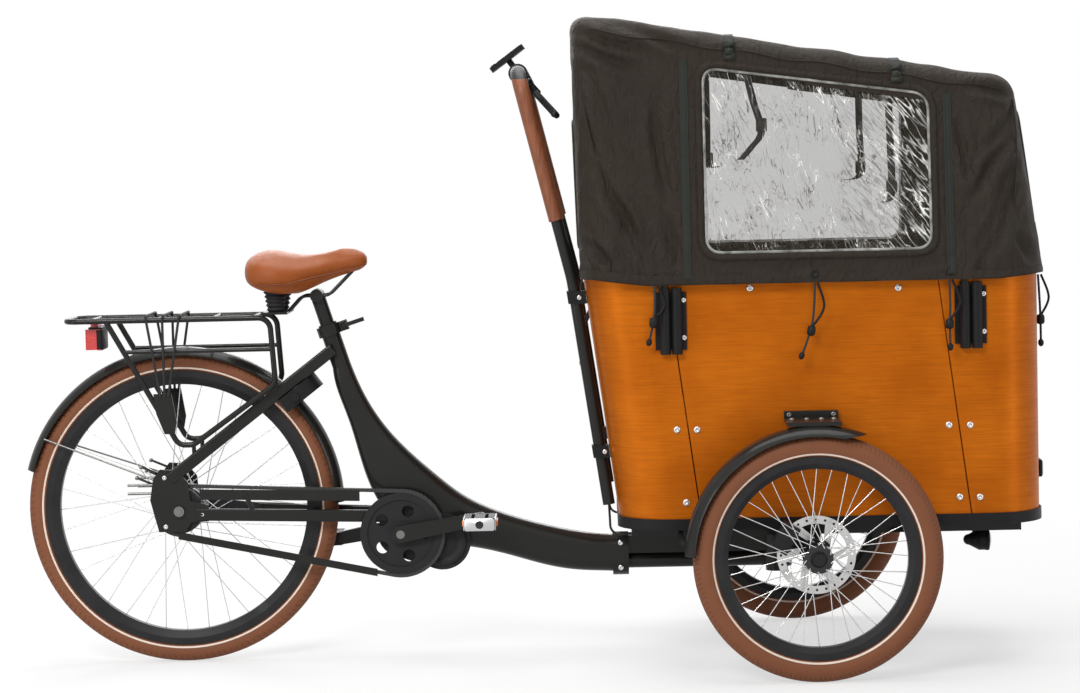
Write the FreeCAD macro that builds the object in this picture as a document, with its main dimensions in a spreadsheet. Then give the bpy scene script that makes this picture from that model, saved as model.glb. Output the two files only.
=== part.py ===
import FreeCAD, Part
import math
import os
import re
import Sketcher

# A cargo tricycle: a plywood box on two front wheels, steered about a king pin,
# with a driven rear wheel, a saddle and a rain tent over the box.
# X points forward, Y to the rider's left and Z up. The origin is on the ground,
# below the middle of the whole tricycle. Lengths are millimetres, angles degrees.

Vector = FreeCAD.Vector
UP = Vector(0, 0, 1)
ALONG_Y = Vector(0, 1, 0)
FORWARD = Vector(1, 0, 0)
SIDES = (-1, 1)

SIZES = {
    # Wheels and their places
    "wheelbase": 1332,
    "track": 830,
    "fit_gap": 0.3,
    "running_gap": 0.05,
    "cut_overrun": 5,
    "rear_tyre_r": 333,
    "rear_flange_r": 296,
    "rear_bead_r": 284,
    "rear_nose_r": 266,
    "front_tyre_r": 252,
    "front_flange_r": 206,
    "front_bead_r": 195,
    "front_nose_r": 181,
    "bead_half": 15,
    "tyre_wall": 4,
    "rim_half": 18,
    "rim_shoulder": 14,
    "rim_nose_half": 9,
    "spoke_r": 1,
    "spoke_sink": 2,
    "spoke_cross": 2.6,
    "spoke_rim_half": 3,
    # Rear hub, its gear side and its brake
    "axle_r": 6,
    "axle_half": 88,
    "axle_nut_r": 11,
    "axle_nut_width": 10,
    "rear_hub_r": 33,
    "rear_hub_flange_r": 50,
    "rear_flange_half": 27,
    "hub_flange_width": 4,
    "rear_hub_right": 46,
    "rear_hub_left": 36,
    "driver_r": 18,
    "belt_line": 60,
    "belt_width": 12,
    "belt_depth": 7,
    "rear_sprocket_r": 49,
    "front_sprocket_r": 87,
    "brake_drum_r": 48,
    "brake_drum_width": 18,
    "brake_arm_width": 5,
    "brake_arm_half": 9,
    "brake_arm_length": 150,
    # Front hubs and brake discs
    "stub_r": 10,
    "front_hub_r": 17,
    "front_hub_flange_r": 29,
    "front_flange_half": 24,
    "front_hub_in": 46,
    "front_hub_out": 34,
    "front_hub_nose_r": 13,
    "disc_seat_r": 22,
    "disc_seat_width": 6,
    "disc_r": 80,
    "disc_ring": 16,
    "disc_width": 2,
    "disc_hole_r": 2.6,
    "disc_window_start": 30,
    "stub_nut_r": 12,
    "stub_nut_width": 8,
    "caliper_half": 30,
    "caliper_depth": 36,
    "caliper_width": 36,
    "caliper_gap": 1,
    "caliper_angle": 150,
    "caliper_lug": 6,
    # Main tube, from the seat down past the motor to the beam
    "seat_top_dx": 319,
    "seat_top_z": 722,
    "seat_lean": 17.5,
    "seat_tube_r": 20,
    "seat_tube_length": 96,
    "tube_wall": 3,
    "beam_joint_dx": 937,
    "beam_joint_z": 214.5,
    "tube_end_half": 40,
    "tube_end_width": 30,
    # Motor, cranks and pedals
    "crank_dx": 470,
    "crank_z": 274,
    "motor_dx": 557,
    "motor_z": 252,
    "motor_r": 60,
    "gearcase_r": 52,
    "motor_half": 44,
    "crank_axle_r": 9,
    "crank_axle_half": 84,
    "crank_length": 175,
    "crank_lift": 10,
    "crank_width": 12,
    "crank_inner": 70,
    "crank_root_r": 18,
    "crank_tip_r": 13,
    "sprocket_web": 5,
    "sprocket_ring": 15,
    "sprocket_boss_r": 26,
    "sprocket_slot_r": 13,
    "sprocket_slot_circle": 50,
    "pedal_axle_r": 7,
    "pedal_gap": 12,
    "pedal_width": 92,
    "pedal_length": 64,
    "pedal_depth": 26,
    "pedal_tread": 14,
    "pedal_core": 22,
    "pedal_cheek": 12,
    # Stays and dropouts
    "dropout_y": 73,
    "dropout_length": 124,
    "dropout_height": 134,
    "dropout_width": 6,
    "chain_stay_half": 13,
    "chain_stay_width": 12,
    "chain_stay_rear_y": 74.5,
    "chain_stay_front_y": 36,
    "chain_stay_start": 35,
    "chain_stay_drop": 8,
    "chain_stay_rise": 34,
    "seat_stay_half": 13,
    "seat_stay_width": 14,
    "seat_stay_top_y": 26,
    "seat_stay_top_dx": 332,
    "seat_stay_top_z": 668,
    "seat_stay_foot_dx": 18,
    "seat_stay_foot_z": 402,
    "stay_corner": 4,
    "guard_y": 67,
    "guard_width": 2.5,
    "guard_half": 11,
    "guard_rear_dx": 43,
    "guard_rear_z": 367,
    "guard_front_dx": 384,
    "guard_front_z": 357,
    "guard_tie_dx": 160,
    "guard_tie_r": 5,
    "low_guard_half": 8,
    "low_guard_rear_dx": -5,
    "low_guard_rear_z": 280,
    "low_guard_front_dx": 418,
    "low_guard_front_z": 192,
    "guard_clip_length": 15,
    "guard_clip_top_z": 303,
    "screw_r": 3,
    "screw_length": 60,
    "screw_low": 39,
    "screw_high": 57,
    # Rear mudguard and its wires
    "mudguard_gap": 11,
    "mudguard_wall": 2.5,
    "mudguard_section_r": 33,
    "mudguard_section_angle": 60,
    "mudguard_tail_angle": 15,
    "mudguard_front_angle": 1,
    "wire_r": 2,
    "wire_angle": 28,
    "wire_foot": 66,
    # Rack with its straps and tail lamp
    "rack_half": 70,
    "rack_z": 741,
    "rack_r": 6,
    "rack_bend": 26,
    "rack_rear": 232,
    "rack_front": 203,
    "rack_bar_r": 4.5,
    "rack_low_z": 674,
    "rack_leg_dx": 146,
    "rack_foot_back": 2,
    "rack_foot_front": 34,
    "rack_foot_z": 474,
    "rack_knee_dx": 212,
    "rack_knee_z": 600,
    "strap_r": 2.8,
    "strap_plate_width": 4,
    "strap_plate_length": 48,
    "strap_plate_height": 110,
    "lamp_length": 34,
    "lamp_height": 44,
    "lamp_half": 38,
    "lamp_dx": 178,
    "lamp_stem": 14,
    # Frame lock
    "lock_along": 317,
    "lock_inner_r": 44,
    "lock_wall": 13,
    "lock_width": 32,
    "lock_leg": 34,
    "lock_key_r": 9,
    "lock_key_length": 12,
    # Saddle, post and clamp
    "post_r": 15.4,
    "post_inside": 260,
    "post_above": 50,
    "saddle_back_dx": 150,
    "saddle_length": 260,
    "saddle_half": 108,
    "saddle_low_z": 792,
    "saddle_height": 88,
    "head_r": 14,
    "head_half": 26,
    "rail_r": 3.5,
    "rail_half": 22,
    "rail_nose_dx": 385,
    "rail_nose_z": 842,
    "bellows_dx": 215,
    "bellows_half": 46,
    "bellows_r": 27,
    "bellows_waist_r": 22,
    "bellows_base_z": 752,
    "bellows_height": 46,
    "saddle_plate": 5,
    "saddle_plate_half": 26,
    "collar_wall": 6,
    "collar_height": 22,
    "collar_ear": 16,
    "collar_drop": 4,
    "lever_length": 46,
    "lever_width": 9,
    "lever_depth": 6,
    # Steering beam, king pin and joint collar
    "king_pin_dx": 60,
    "king_pin_r": 14,
    "king_boss_r": 32,
    "king_collar_r": 26,
    "king_nut_r": 24,
    "king_nut_height": 10,
    "beam_r": 17,
    "beam_z": 199,
    "beam_box": 38,
    "joint_collar_length": 34,
    "joint_collar_wall": 6,
    # Front chassis
    "chassis_rail_y": 200,
    "chassis_rail_width": 20,
    "chassis_top_z": 300,
    "chassis_rail_height": 26,
    "chassis_front": 436,
    "chassis_back": 372,
    "chassis_plate": 10,
    "chassis_plate_length": 150,
    "axle_tube_r": 20,
    "axle_tube_gap": 11,
    # Box
    "box_front": 474,
    "box_back_low": 396,
    "box_back_high": 461,
    "box_half": 310,
    "box_corner_r": 110,
    "box_floor_z": 313,
    "box_top_z": 818,
    "box_wall": 12,
    "seam_gap": 2.5,
    "rear_seam": 168,
    "front_seam": 150,
    "end_seam_y": 190,
    "floor_trim": 3,
    "floor_lip": 10,
    "bench_z": 530,
    "bench_board": 15,
    "bench_front": 60,
    "battery_length": 210,
    "battery_half": 90,
    "battery_height": 150,
    "battery_back": 330,
    # Handlebar and what is on it
    "bar_half": 205,
    "bar_r": 12.5,
    "bar_foot_x": 418,
    "bar_foot_z": 345,
    "bar_knee_x": 484,
    "bar_knee_z": 815,
    "bar_top_x": 588,
    "bar_top_z": 1243,
    "bar_knee_bend": 300,
    "bar_corner_bend": 52,
    "wrap_wall": 3.5,
    "wrap_low_z": 937,
    "wrap_inner_y": 152,
    "shifter_r": 20,
    "shifter_start": 106,
    "shifter_length": 42,
    "perch_start": 82,
    "perch_width": 16,
    "perch_r": 18,
    "perch_reach": 36,
    "blade_root_r": 7,
    "blade_depth": 10,
    "blade_reach": 114,
    "blade_end_y": 188,
    "blade_half": 7,
    "clamp_high_z": 777,
    "clamp_low_z": 456,
    "clamp_height": 26,
    "clamp_half": 16,
    "display_length": 86,
    "display_half": 32,
    "display_depth": 11,
    "display_tilt": 36,
    "display_stem": 38,
    "display_stem_half": 13,
    "display_band_r": 17,
    "cable_r": 2.5,
    "cable_start_dx": 24,
    "cable_start_drop": 13,
    "cable_corner_dx": 18,
    "cable_top_z": 1100,
    "cable_foot_z": 278,
    # Front mudguards, headlamp and pole sockets
    "front_mudguard_gap": 14,
    "front_mudguard_section_r": 38,
    "front_mudguard_back": 178,
    "front_mudguard_tip": 68,
    "front_mudguard_beak": 14,
    "bracket_back": 58,
    "bracket_front": 52,
    "bracket_plate": 8,
    "bracket_block": 14,
    "bracket_inset": 12,
    "mudguard_stay_r": 5,
    "headlamp_dx": 366,
    "headlamp_z": 228,
    "headlamp_r": 23,
    "headlamp_length": 52,
    "headlamp_stem_r": 7,
    "socket_rear_x": 284,
    "socket_front_x": 325,
    "socket_pitch": 24,
    "socket_plate": 4,
    "socket_plate_half": 32,
    "socket_plate_height": 118,
    "socket_low_z": 662,
    "socket_top_z": 797,
    "socket_y": 322,
    "socket_wall": 3.5,
    "pole_r": 7,
    # Tent
    "tent_hem_z": 803,
    "tent_hem_half": 338,
    "tent_hem_front": 481,
    "tent_hem_back": 467,
    "tent_hem_corner": 95,
    "tent_wall": 3,
    "tent_roof_half": 283,
    "tent_roof_front": 434,
    "tent_roof_back": 480,
    "tent_roof_front_z": 1208,
    "tent_roof_back_z": 1362,
    "tent_roof_corner": 80,
    "tent_roof_round": 38,
    "window_back": 212,
    "window_front": 250,
    "window_low_z": 864,
    "window_back_z": 1246,
    "window_front_z": 1182,
    "window_corner": 26,
    "end_window_half": 215,
    "end_window_low_z": 890,
    "end_window_high_z": 1130,
    "pole_rear_top_x": 415,
    "pole_front_top_x": 372,
    "pole_top_y": 250,
    "pole_bend": 60,
    "cord_r": 2.5,
}

# Counts
SPOKE_COUNT = 36
DISC_HOLE_COUNT = 24
DISC_ARM_COUNT = 6
SPROCKET_SLOT_COUNT = 5
BELLOWS_RIB_COUNT = 5

# Angle by which a spoke leads from its rim hole back to its hub hole
REAR_SPOKE_LEAD = 44
FRONT_SPOKE_LEAD = 48

# Turns that lay a piece's own X axis, or a cylinder's own Z axis, where it belongs
LEFT_TURN = FreeCAD.Rotation(UP, 90)
RIGHT_TURN = FreeCAD.Rotation(UP, -90)
UPRIGHT_TURN = FreeCAD.Rotation(ALONG_Y, -90)
CROSSWAYS_TURN = FreeCAD.Rotation(FORWARD, -90)

# Largest part of a run that an arc may take up at each end
BEND_SHARE = 0.45

os.makedirs("parts", exist_ok=True)
doc = FreeCAD.newDocument("cargo_tricycle")
sheet = doc.addObject("Spreadsheet::Sheet", "sizes")
for row, (name, value) in enumerate(SIZES.items(), start=1):
    cell = "A%d" % row
    sheet.set(cell, str(value))
    sheet.setAlias(cell, name)
doc.recompute()


class Read:
    """Sizes read back from the sheet, as numbers."""


for name in SIZES:
    setattr(Read, name, float(sheet.get(name)))

nodes = {}


# Derived places, written as size expressions
REACH_BACK = "(rear_tyre_r + mudguard_gap + mudguard_wall) * cos(mudguard_tail_angle)"
REACH_FRONT = "tent_hem_front"
FRONT_X = "((%s) + wheelbase - (%s)) / 2" % (REACH_BACK, REACH_FRONT)
REAR_X = "((%s) - wheelbase - (%s)) / 2" % (REACH_BACK, REACH_FRONT)


def expression(text):
    """The sheet expression for a formula written in size names."""
    return re.sub(r"[a-z]\w*", lambda word: "sizes." + word[0] if word[0] in SIZES else word[0], text)


def measure(text):
    return float(sheet.evalExpression(expression(text)))


def bind(target, field, text):
    target.setExpression(field, expression(text))


def place(target, x, y, z, turn=None):
    target.Placement = FreeCAD.Placement(Vector(0, 0, 0), turn or FreeCAD.Rotation())
    for axis, text in zip("xyz", (x, y, z)):
        bind(target, "Placement.Base." + axis, text)
    return target


def node(label, target):
    """Name an object as a finished sub-part."""
    target.Label = label
    nodes[label] = target
    return target


def solid(label, shape):
    """A finished sub-part whose form is worked out from the sizes."""
    feature = doc.addObject("Part::Feature", label)
    feature.Shape = shape
    feature.Placement = FreeCAD.Placement()
    return node(label, feature)


def rod(label, radius, length, x, y, z, turn=None):
    cylinder = doc.addObject("Part::Cylinder", label)
    bind(cylinder, "Radius", radius)
    bind(cylinder, "Height", length)
    return place(cylinder, x, y, z, turn)


def block(label, length, width, height, x, y, z):
    """A box whose lowest corner is at x, y, z."""
    box = doc.addObject("Part::Box", label)
    bind(box, "Length", length)
    bind(box, "Width", width)
    bind(box, "Height", height)
    return place(box, x, y, z)


def cut_from(label, base, tools):
    tool = tools[0]
    if len(tools) > 1:
        tool = joined(label + "_tools", tools)
    cut = doc.addObject("Part::Cut", label)
    cut.Base = base
    cut.Tool = tool
    return cut


def joined(label, members):
    fuse = doc.addObject("Part::MultiFuse", label)
    fuse.Shapes = members
    return fuse


def grouped(label, members):
    group = doc.addObject("Part::Compound", label)
    group.Links = members
    return group


def reflected(label, source):
    """The same piece on the other side of the centre plane."""
    mirror = doc.addObject("Part::Mirroring", label)
    mirror.Source = source
    mirror.Normal = ALONG_Y
    return mirror


def paired(label, source):
    return node(label, grouped(label, [source, reflected(label + "_other", source)]))


def origin_plane(body, role):
    return next(feature for feature in body.Origin.OriginFeatures if feature.Role == role)


def new_sketch(body, name, role):
    sketch = body.newObject("Sketcher::SketchObject", name)
    sketch.AttachmentSupport = (origin_plane(body, role), [""])
    sketch.MapMode = "FlatFace"
    return sketch


def hold_point(sketch, edge, end, x, y):
    """Tie one sketch point to two size expressions."""
    for kind, text in (("DistanceX", x), ("DistanceY", y)):
        held = sketch.addConstraint(Sketcher.Constraint(kind, -1, 1, edge, end, measure(text)))
        sketch.setExpression("Constraints[%d]" % held, expression(text))


def draw_outline(sketch, points):
    """A closed outline of straight lines through points given as size expressions."""
    spots = [Vector(measure(x), measure(y), 0) for x, y in points]
    first = sketch.GeometryCount
    count = len(points)
    for index in range(count):
        sketch.addGeometry(Part.LineSegment(spots[index], spots[(index + 1) % count]), False)
    for index in range(count):
        following = first + (index + 1) % count
        sketch.addConstraint(Sketcher.Constraint("Coincident", first + index, 2, following, 1))
    for index, (x, y) in enumerate(points):
        hold_point(sketch, first + index, 1, x, y)


def draw_circle(sketch, radius, x="0", y="0"):
    spot = Vector(measure(x), measure(y), 0)
    circle = sketch.addGeometry(Part.Circle(spot, UP, measure(radius)), False)
    hold_point(sketch, circle, 3, x, y)
    held = sketch.addConstraint(Sketcher.Constraint("Radius", circle, measure(radius)))
    sketch.setExpression("Constraints[%d]" % held, expression(radius))


def turned(label, profile):
    """A body turned about its own X axis from a profile of (along, radius) points."""
    body = doc.addObject("PartDesign::Body", label)
    sketch = new_sketch(body, label + "_profile", "XY_Plane")
    draw_outline(sketch, profile)
    turning = body.newObject("PartDesign::Revolution", label + "_turning")
    turning.Profile = sketch
    turning.ReferenceAxis = (sketch, ["H_Axis"])
    turning.Angle = 360
    return body


def padded(label, outline, width, role="XZ_Plane"):
    """A body of one flat outline, grown evenly to both sides of its plane."""
    body = doc.addObject("PartDesign::Body", label)
    sketch = new_sketch(body, label + "_outline", role)
    draw_outline(sketch, outline)
    pad = body.newObject("PartDesign::Pad", label + "_pad")
    pad.Profile = sketch
    pad.Midplane = True
    bind(pad, "Length", width)
    return body


def polar_pocket(body, label, sketch, count):
    """Cut a sketch through the body, repeated around the sketch's own axis."""
    pocket = body.newObject("PartDesign::Pocket", label)
    pocket.Profile = sketch
    pocket.Type = "ThroughAll"
    pocket.Midplane = True
    around = body.newObject("PartDesign::PolarPattern", label + "_around")
    around.Originals = [pocket]
    around.Axis = (sketch, ["N_Axis"])
    around.Angle = 360
    around.Occurrences = count
    body.Tip = around


# Shapes worked out from numbers

def bent_wire(points, bend):
    """Straight runs joined by tangent arcs: one radius for all, or a list with one each."""
    corners = len(points) - 2
    bends = bend if isinstance(bend, (list, tuple)) else [bend] * corners
    edges = []
    start = points[0]
    for index in range(1, len(points) - 1):
        corner = points[index]
        back = points[index - 1] - corner
        ahead = points[index + 1] - corner
        half_turn = (math.pi - back.getAngle(ahead)) / 2
        room = min(back.Length, ahead.Length) * BEND_SHARE
        radius = min(bends[index - 1], room / math.tan(half_turn))
        reach = radius * math.tan(half_turn)
        back.normalize()
        ahead.normalize()
        inward = (back + ahead).normalize()
        entry = corner + back * reach
        leave = corner + ahead * reach
        middle = corner + inward * (radius / math.cos(half_turn) - radius)
        edges.append(Part.LineSegment(start, entry).toShape())
        edges.append(Part.Arc(entry, middle, leave).toShape())
        start = leave
    edges.append(Part.LineSegment(start, points[-1]).toShape())
    return Part.Wire(edges)


def bent_tube(points, radius, bend):
    path = bent_wire(points, bend)
    ring = Part.Wire([Part.Circle(points[0], points[1] - points[0], radius).toShape()])
    return path.makePipeShell([ring], True, False)


def straight_tube(start, end, radius):
    return Part.makeCylinder(radius, (end - start).Length, start, end - start)


def rounded_wire(centre, across, along, half_across, half_along, corner):
    """A rectangle with round corners, in the plane of two unit directions."""
    spots = []
    for sign_a, sign_b in ((1, 1), (-1, 1), (-1, -1), (1, -1)):
        hub = centre + across * (sign_a * (half_across - corner)) + along * (sign_b * (half_along - corner))
        side = hub + across * (sign_a * corner)
        end = hub + along * (sign_b * corner)
        middle = hub + (across * sign_a + along * sign_b).normalize() * corner
        spots.append((side, middle, end) if sign_a * sign_b > 0 else (end, middle, side))
    edges = []
    for index, (entry, middle, leave) in enumerate(spots):
        edges.append(Part.Arc(entry, middle, leave).toShape())
        following = spots[(index + 1) % len(spots)][0]
        edges.append(Part.LineSegment(leave, following).toShape())
    return Part.Wire(edges)


def bar_between(start, end, half_width, half_height, corner):
    """A straight bar of rounded rectangular section, upright in the lengthwise plane."""
    run = end - start
    across = UP.cross(run).normalize()
    upright = run.cross(across).normalize()
    wire = rounded_wire(start, across, upright, half_width, half_height, corner)
    return Part.Face(wire).extrude(run)


def capsule(first, first_r, second, second_r, low_y, high_y):
    """Two discs in the lengthwise plane, wrapped by one tight band and given a width."""
    run = second - first
    heading = math.atan2(run.z, run.x)
    spread = math.acos((first_r - second_r) / run.Length)

    def rim(centre, radius, angle):
        return centre + Vector(math.cos(angle), 0, math.sin(angle)) * radius

    over, under = heading + spread, heading - spread
    edges = [
        Part.LineSegment(rim(first, first_r, over), rim(second, second_r, over)).toShape(),
        Part.Arc(
            rim(second, second_r, over), rim(second, second_r, heading), rim(second, second_r, under)
        ).toShape(),
        Part.LineSegment(rim(second, second_r, under), rim(first, first_r, under)).toShape(),
        Part.Arc(
            rim(first, first_r, under), rim(first, first_r, heading + math.pi), rim(first, first_r, over)
        ).toShape(),
    ]
    face = Part.Face(Part.Wire(edges))
    face.translate(Vector(0, low_y, 0))
    return face.extrude(Vector(0, high_y - low_y, 0))


def polygon_prism(points, push):
    return Part.Face(Part.makePolygon(points + points[:1])).extrude(push)


def both_sides(shape):
    """The shape and its mirror image, as two separate solids."""
    return Part.makeCompound([shape, shape.mirror(Vector(0, 0, 0), ALONG_Y)])


def guard_shape(centre, inner_r, section_r, from_angle, to_angle):
    """A mudguard: an arched strip carried round the wheel between two angles."""
    half = math.radians(Read.mudguard_section_angle)
    top = centre + FORWARD * inner_r

    def arch(radius):
        hub = top - FORWARD * section_r
        ends = [
            hub + FORWARD * (radius * math.cos(half)) + ALONG_Y * (sign * radius * math.sin(half))
            for sign in SIDES
        ]
        return Part.Arc(ends[0], hub + FORWARD * radius, ends[1])

    low = arch(section_r)
    high = arch(section_r + Read.mudguard_wall)
    edges = [
        low.toShape(),
        Part.LineSegment(low.EndPoint, high.EndPoint).toShape(),
        high.toShape(),
        Part.LineSegment(high.StartPoint, low.StartPoint).toShape(),
    ]
    face = Part.Face(Part.Wire(Part.__sortEdges__(edges)))
    face.rotate(centre, ALONG_Y, -from_angle)
    return face.revolve(centre, ALONG_Y, from_angle - to_angle)


# Reference points shared by several pieces
front_x = measure(FRONT_X)
rear_x = measure(REAR_X)
rear_axle = Vector(rear_x, 0, Read.rear_tyre_r)
crank = Vector(rear_x + Read.crank_dx, 0, Read.crank_z)
motor = Vector(rear_x + Read.motor_dx, 0, Read.motor_z)
seat_top = Vector(rear_x + Read.seat_top_dx, 0, Read.seat_top_z)
post_up = Vector(-math.sin(math.radians(Read.seat_lean)), 0, math.cos(math.radians(Read.seat_lean)))
king_pin = Vector(front_x - Read.king_pin_dx, 0, 0)
beam_joint = Vector(rear_x + Read.beam_joint_dx, 0, Read.beam_joint_z)


def from_rear(dx, y, z):
    """A point measured forward of the rear axle, and up from the ground."""
    return Vector(rear_x + dx, y, z)


def from_front(dx, y, z):
    """A point measured forward of the front axle, and up from the ground."""
    return Vector(front_x + dx, y, z)


# Wheels

def tyre(label, outer_r, flange_r, bead_r):
    """A hollow tyre: beads between the rim flanges and a round casing above them."""
    body = doc.addObject("PartDesign::Body", label)
    sketch = new_sketch(body, label + "_section", "XY_Plane")
    rise = "(%s - %s)" % (outer_r, flange_r)
    casing_r = "((%s ^ 2 + bead_half ^ 2) / (2 * %s))" % (rise, rise)
    inner_r = "(%s - tyre_wall)" % casing_r
    inner_half = "(bead_half - tyre_wall)"
    centre = "(%s - %s)" % (outer_r, casing_r)
    inner_rise = "(%s - sqrt(%s ^ 2 - %s ^ 2))" % (centre, inner_r, inner_half)
    hub = Vector(0, measure(centre), 0)

    def draw_arc(radius, half, low):
        ends = [Vector(sign * measure(half), measure(low), 0) for sign in (1, -1)]
        angles = [math.atan2(end.y - hub.y, end.x) for end in ends]
        circle = Part.Circle(hub, UP, measure(radius))
        arc = sketch.addGeometry(Part.ArcOfCircle(circle, angles[0], angles[1] + 2 * math.pi), False)
        hold_point(sketch, arc, 1, half, low)
        hold_point(sketch, arc, 2, "-" + half, low)
        held = sketch.addConstraint(Sketcher.Constraint("Radius", arc, measure(radius)))
        sketch.setExpression("Constraints[%d]" % held, expression(radius))
        return arc

    outer = draw_arc(casing_r, "bead_half", flange_r)
    inner = draw_arc(inner_r, inner_half, inner_rise)
    for sign, end in (("", 1), ("-", 2)):
        spots = [
            (sign + "bead_half", flange_r),
            (sign + "bead_half", bead_r),
            (sign + inner_half, bead_r),
            (sign + inner_half, inner_rise),
        ]
        flat = [Vector(measure(x), measure(y), 0) for x, y in spots]
        lines = [sketch.addGeometry(Part.LineSegment(a, b), False) for a, b in zip(flat, flat[1:])]
        for first, second in zip(lines, lines[1:]):
            sketch.addConstraint(Sketcher.Constraint("Coincident", first, 2, second, 1))
        sketch.addConstraint(Sketcher.Constraint("Coincident", outer, end, lines[0], 1))
        sketch.addConstraint(Sketcher.Constraint("Coincident", lines[-1], 2, inner, end))
        for line, (x, y) in zip(lines[1:], spots[1:]):
            hold_point(sketch, line, 1, x, y)
    turning = body.newObject("PartDesign::Revolution", label + "_turning")
    turning.Profile = sketch
    turning.ReferenceAxis = (sketch, ["H_Axis"])
    turning.Angle = 360
    return body


def rim(label, flange_r, bead_r, nose_r):
    well_half = "(bead_half + fit_gap)"
    well_r = "(%s - fit_gap)" % bead_r
    shoulder_r = "(%s - rim_shoulder)" % flange_r
    half = [
        ("rim_nose_half", nose_r),
        ("rim_half", shoulder_r),
        ("rim_half", flange_r),
        (well_half, flange_r),
        (well_half, well_r),
    ]
    other = [("-" + along, radius) for along, radius in reversed(half)]
    return turned(label, half + other)


def spoke_set(centre, outward, flange_half, hub_r, rim_r, lead):
    """Crossed spokes, laced alternately from the two hub flanges to the rim."""
    spokes = []
    for index in range(SPOKE_COUNT):
        flange = 1 if index % 2 else -1
        way = 1 if index // 2 % 2 else -1
        rim_angle = 2 * math.pi * index / SPOKE_COUNT
        hub_angle = rim_angle - way * math.radians(lead)
        hub_along = flange * (flange_half + way * Read.spoke_cross)
        rim_along = flange * Read.spoke_rim_half
        start = centre + ALONG_Y * (outward * hub_along)
        start += Vector(math.cos(hub_angle), 0, math.sin(hub_angle)) * hub_r
        end = centre + ALONG_Y * (outward * rim_along)
        end += Vector(math.cos(rim_angle), 0, math.sin(rim_angle)) * rim_r
        spokes.append(straight_tube(start, end, Read.spoke_r))
    return Part.makeCompound(spokes)


def rear_wheel():
    for piece in (
        tyre("rear_tyre", "rear_tyre_r", "rear_flange_r", "rear_bead_r"),
        rim("rear_rim", "rear_flange_r", "rear_bead_r", "rear_nose_r"),
        rear_hub(),
    ):
        node(piece.Label, place(piece, REAR_X, "0", "rear_tyre_r", LEFT_TURN))
    hole_r = Read.rear_hub_flange_r - 2 * Read.spoke_sink
    rim_r = Read.rear_nose_r + Read.spoke_sink
    solid("rear_spokes", spoke_set(rear_axle, 1, Read.rear_flange_half, hole_r, rim_r, REAR_SPOKE_LEAD))


def flange_profile(middle, hub_r, flange_r):
    """Profile points of one spoke flange, from low to high along the axle."""
    low = "(%s - hub_flange_width / 2)" % middle
    high = "(%s + hub_flange_width / 2)" % middle
    return [(low, hub_r), (low, flange_r), (high, flange_r), (high, hub_r)]


def rear_hub():
    bore = "axle_r + running_gap"
    right = flange_profile("(-rear_flange_half)", "rear_hub_r", "rear_hub_flange_r")
    right[0] = (right[0][0], "driver_r")
    left = flange_profile("rear_flange_half", "rear_hub_r", "rear_hub_flange_r")
    start = [("-rear_hub_right", bore), ("-rear_hub_right", "driver_r")]
    end = [("rear_hub_left", "rear_hub_r"), ("rear_hub_left", bore)]
    return turned("rear_hub", start + right + left + end)


def front_hub(label):
    bore = "stub_r + running_gap"
    seat_end = "-front_hub_in + disc_seat_width"
    profile = [
        ("-front_hub_in", bore),
        ("-front_hub_in", "disc_seat_r"),
        (seat_end, "disc_seat_r"),
        (seat_end, "front_hub_r"),
    ]
    profile += flange_profile("(-front_flange_half)", "front_hub_r", "front_hub_flange_r")
    profile += flange_profile("front_flange_half", "front_hub_r", "front_hub_flange_r")
    profile += [("front_hub_out", "front_hub_nose_r"), ("front_hub_out", bore)]
    return turned(label, profile)


# Corners of a brake disc's window, as shares of the angle between two arms
DISC_WINDOW_START_SHARES = (0, 0.42)
DISC_WINDOW_END_SHARES = (0.95, 0.72, 0.45, 0.22)


def front_disc(label):
    """A drilled brake disc with slanting arms, lying in its own YZ plane."""
    body = doc.addObject("PartDesign::Body", label)
    face = new_sketch(body, label + "_face", "YZ_Plane")
    draw_circle(face, "disc_r")
    draw_circle(face, "stub_r + tyre_wall")
    pad = body.newObject("PartDesign::Pad", label + "_pad")
    pad.Profile = face
    pad.Midplane = True
    bind(pad, "Length", "disc_width")
    doc.recompute()
    arm = 360 / DISC_ARM_COUNT
    ring_r = "(disc_r - disc_ring)"
    windows = new_sketch(body, label + "_window", "YZ_Plane")
    corners = [("disc_window_start", arm * share) for share in DISC_WINDOW_START_SHARES]
    corners += [(ring_r, arm * share) for share in DISC_WINDOW_END_SHARES]
    draw_outline(windows, [("%s * cos(%s)" % pair, "%s * sin(%s)" % pair) for pair in corners])
    polar_pocket(body, label + "_windows", windows, DISC_ARM_COUNT)
    doc.recompute()
    holes = new_sketch(body, label + "_hole", "YZ_Plane")
    draw_circle(holes, "disc_hole_r", "disc_r - disc_ring / 2", "0")
    polar_pocket(body, label + "_holes", holes, DISC_HOLE_COUNT)
    return body


def front_wheel(side_name, outward, turn):
    """One front wheel: its own X axis points away from the tricycle."""
    wheel_y = "%d * track / 2" % outward
    for piece in (
        tyre("front_tyre_" + side_name, "front_tyre_r", "front_flange_r", "front_bead_r"),
        rim("front_rim_" + side_name, "front_flange_r", "front_bead_r", "front_nose_r"),
    ):
        node(piece.Label, place(piece, FRONT_X, wheel_y, "front_tyre_r", turn))
    hub = place(front_hub("hub_barrel_" + side_name), FRONT_X, wheel_y, "front_tyre_r", turn)
    disc_y = "%d * (track / 2 - front_hub_in - disc_width / 2)" % outward
    disc = place(front_disc("disc_" + side_name), FRONT_X, disc_y, "front_tyre_r", turn)
    label = "front_hub_" + side_name
    node(label, grouped(label, [hub, disc]))
    centre = from_front(0, outward * Read.track / 2, Read.front_tyre_r)
    hole_r = Read.front_hub_flange_r - 2 * Read.spoke_sink
    rim_r = Read.front_nose_r + Read.spoke_sink
    shape = spoke_set(centre, outward, Read.front_flange_half, hole_r, rim_r, FRONT_SPOKE_LEAD)
    solid("front_spokes_" + side_name, shape)


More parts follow.
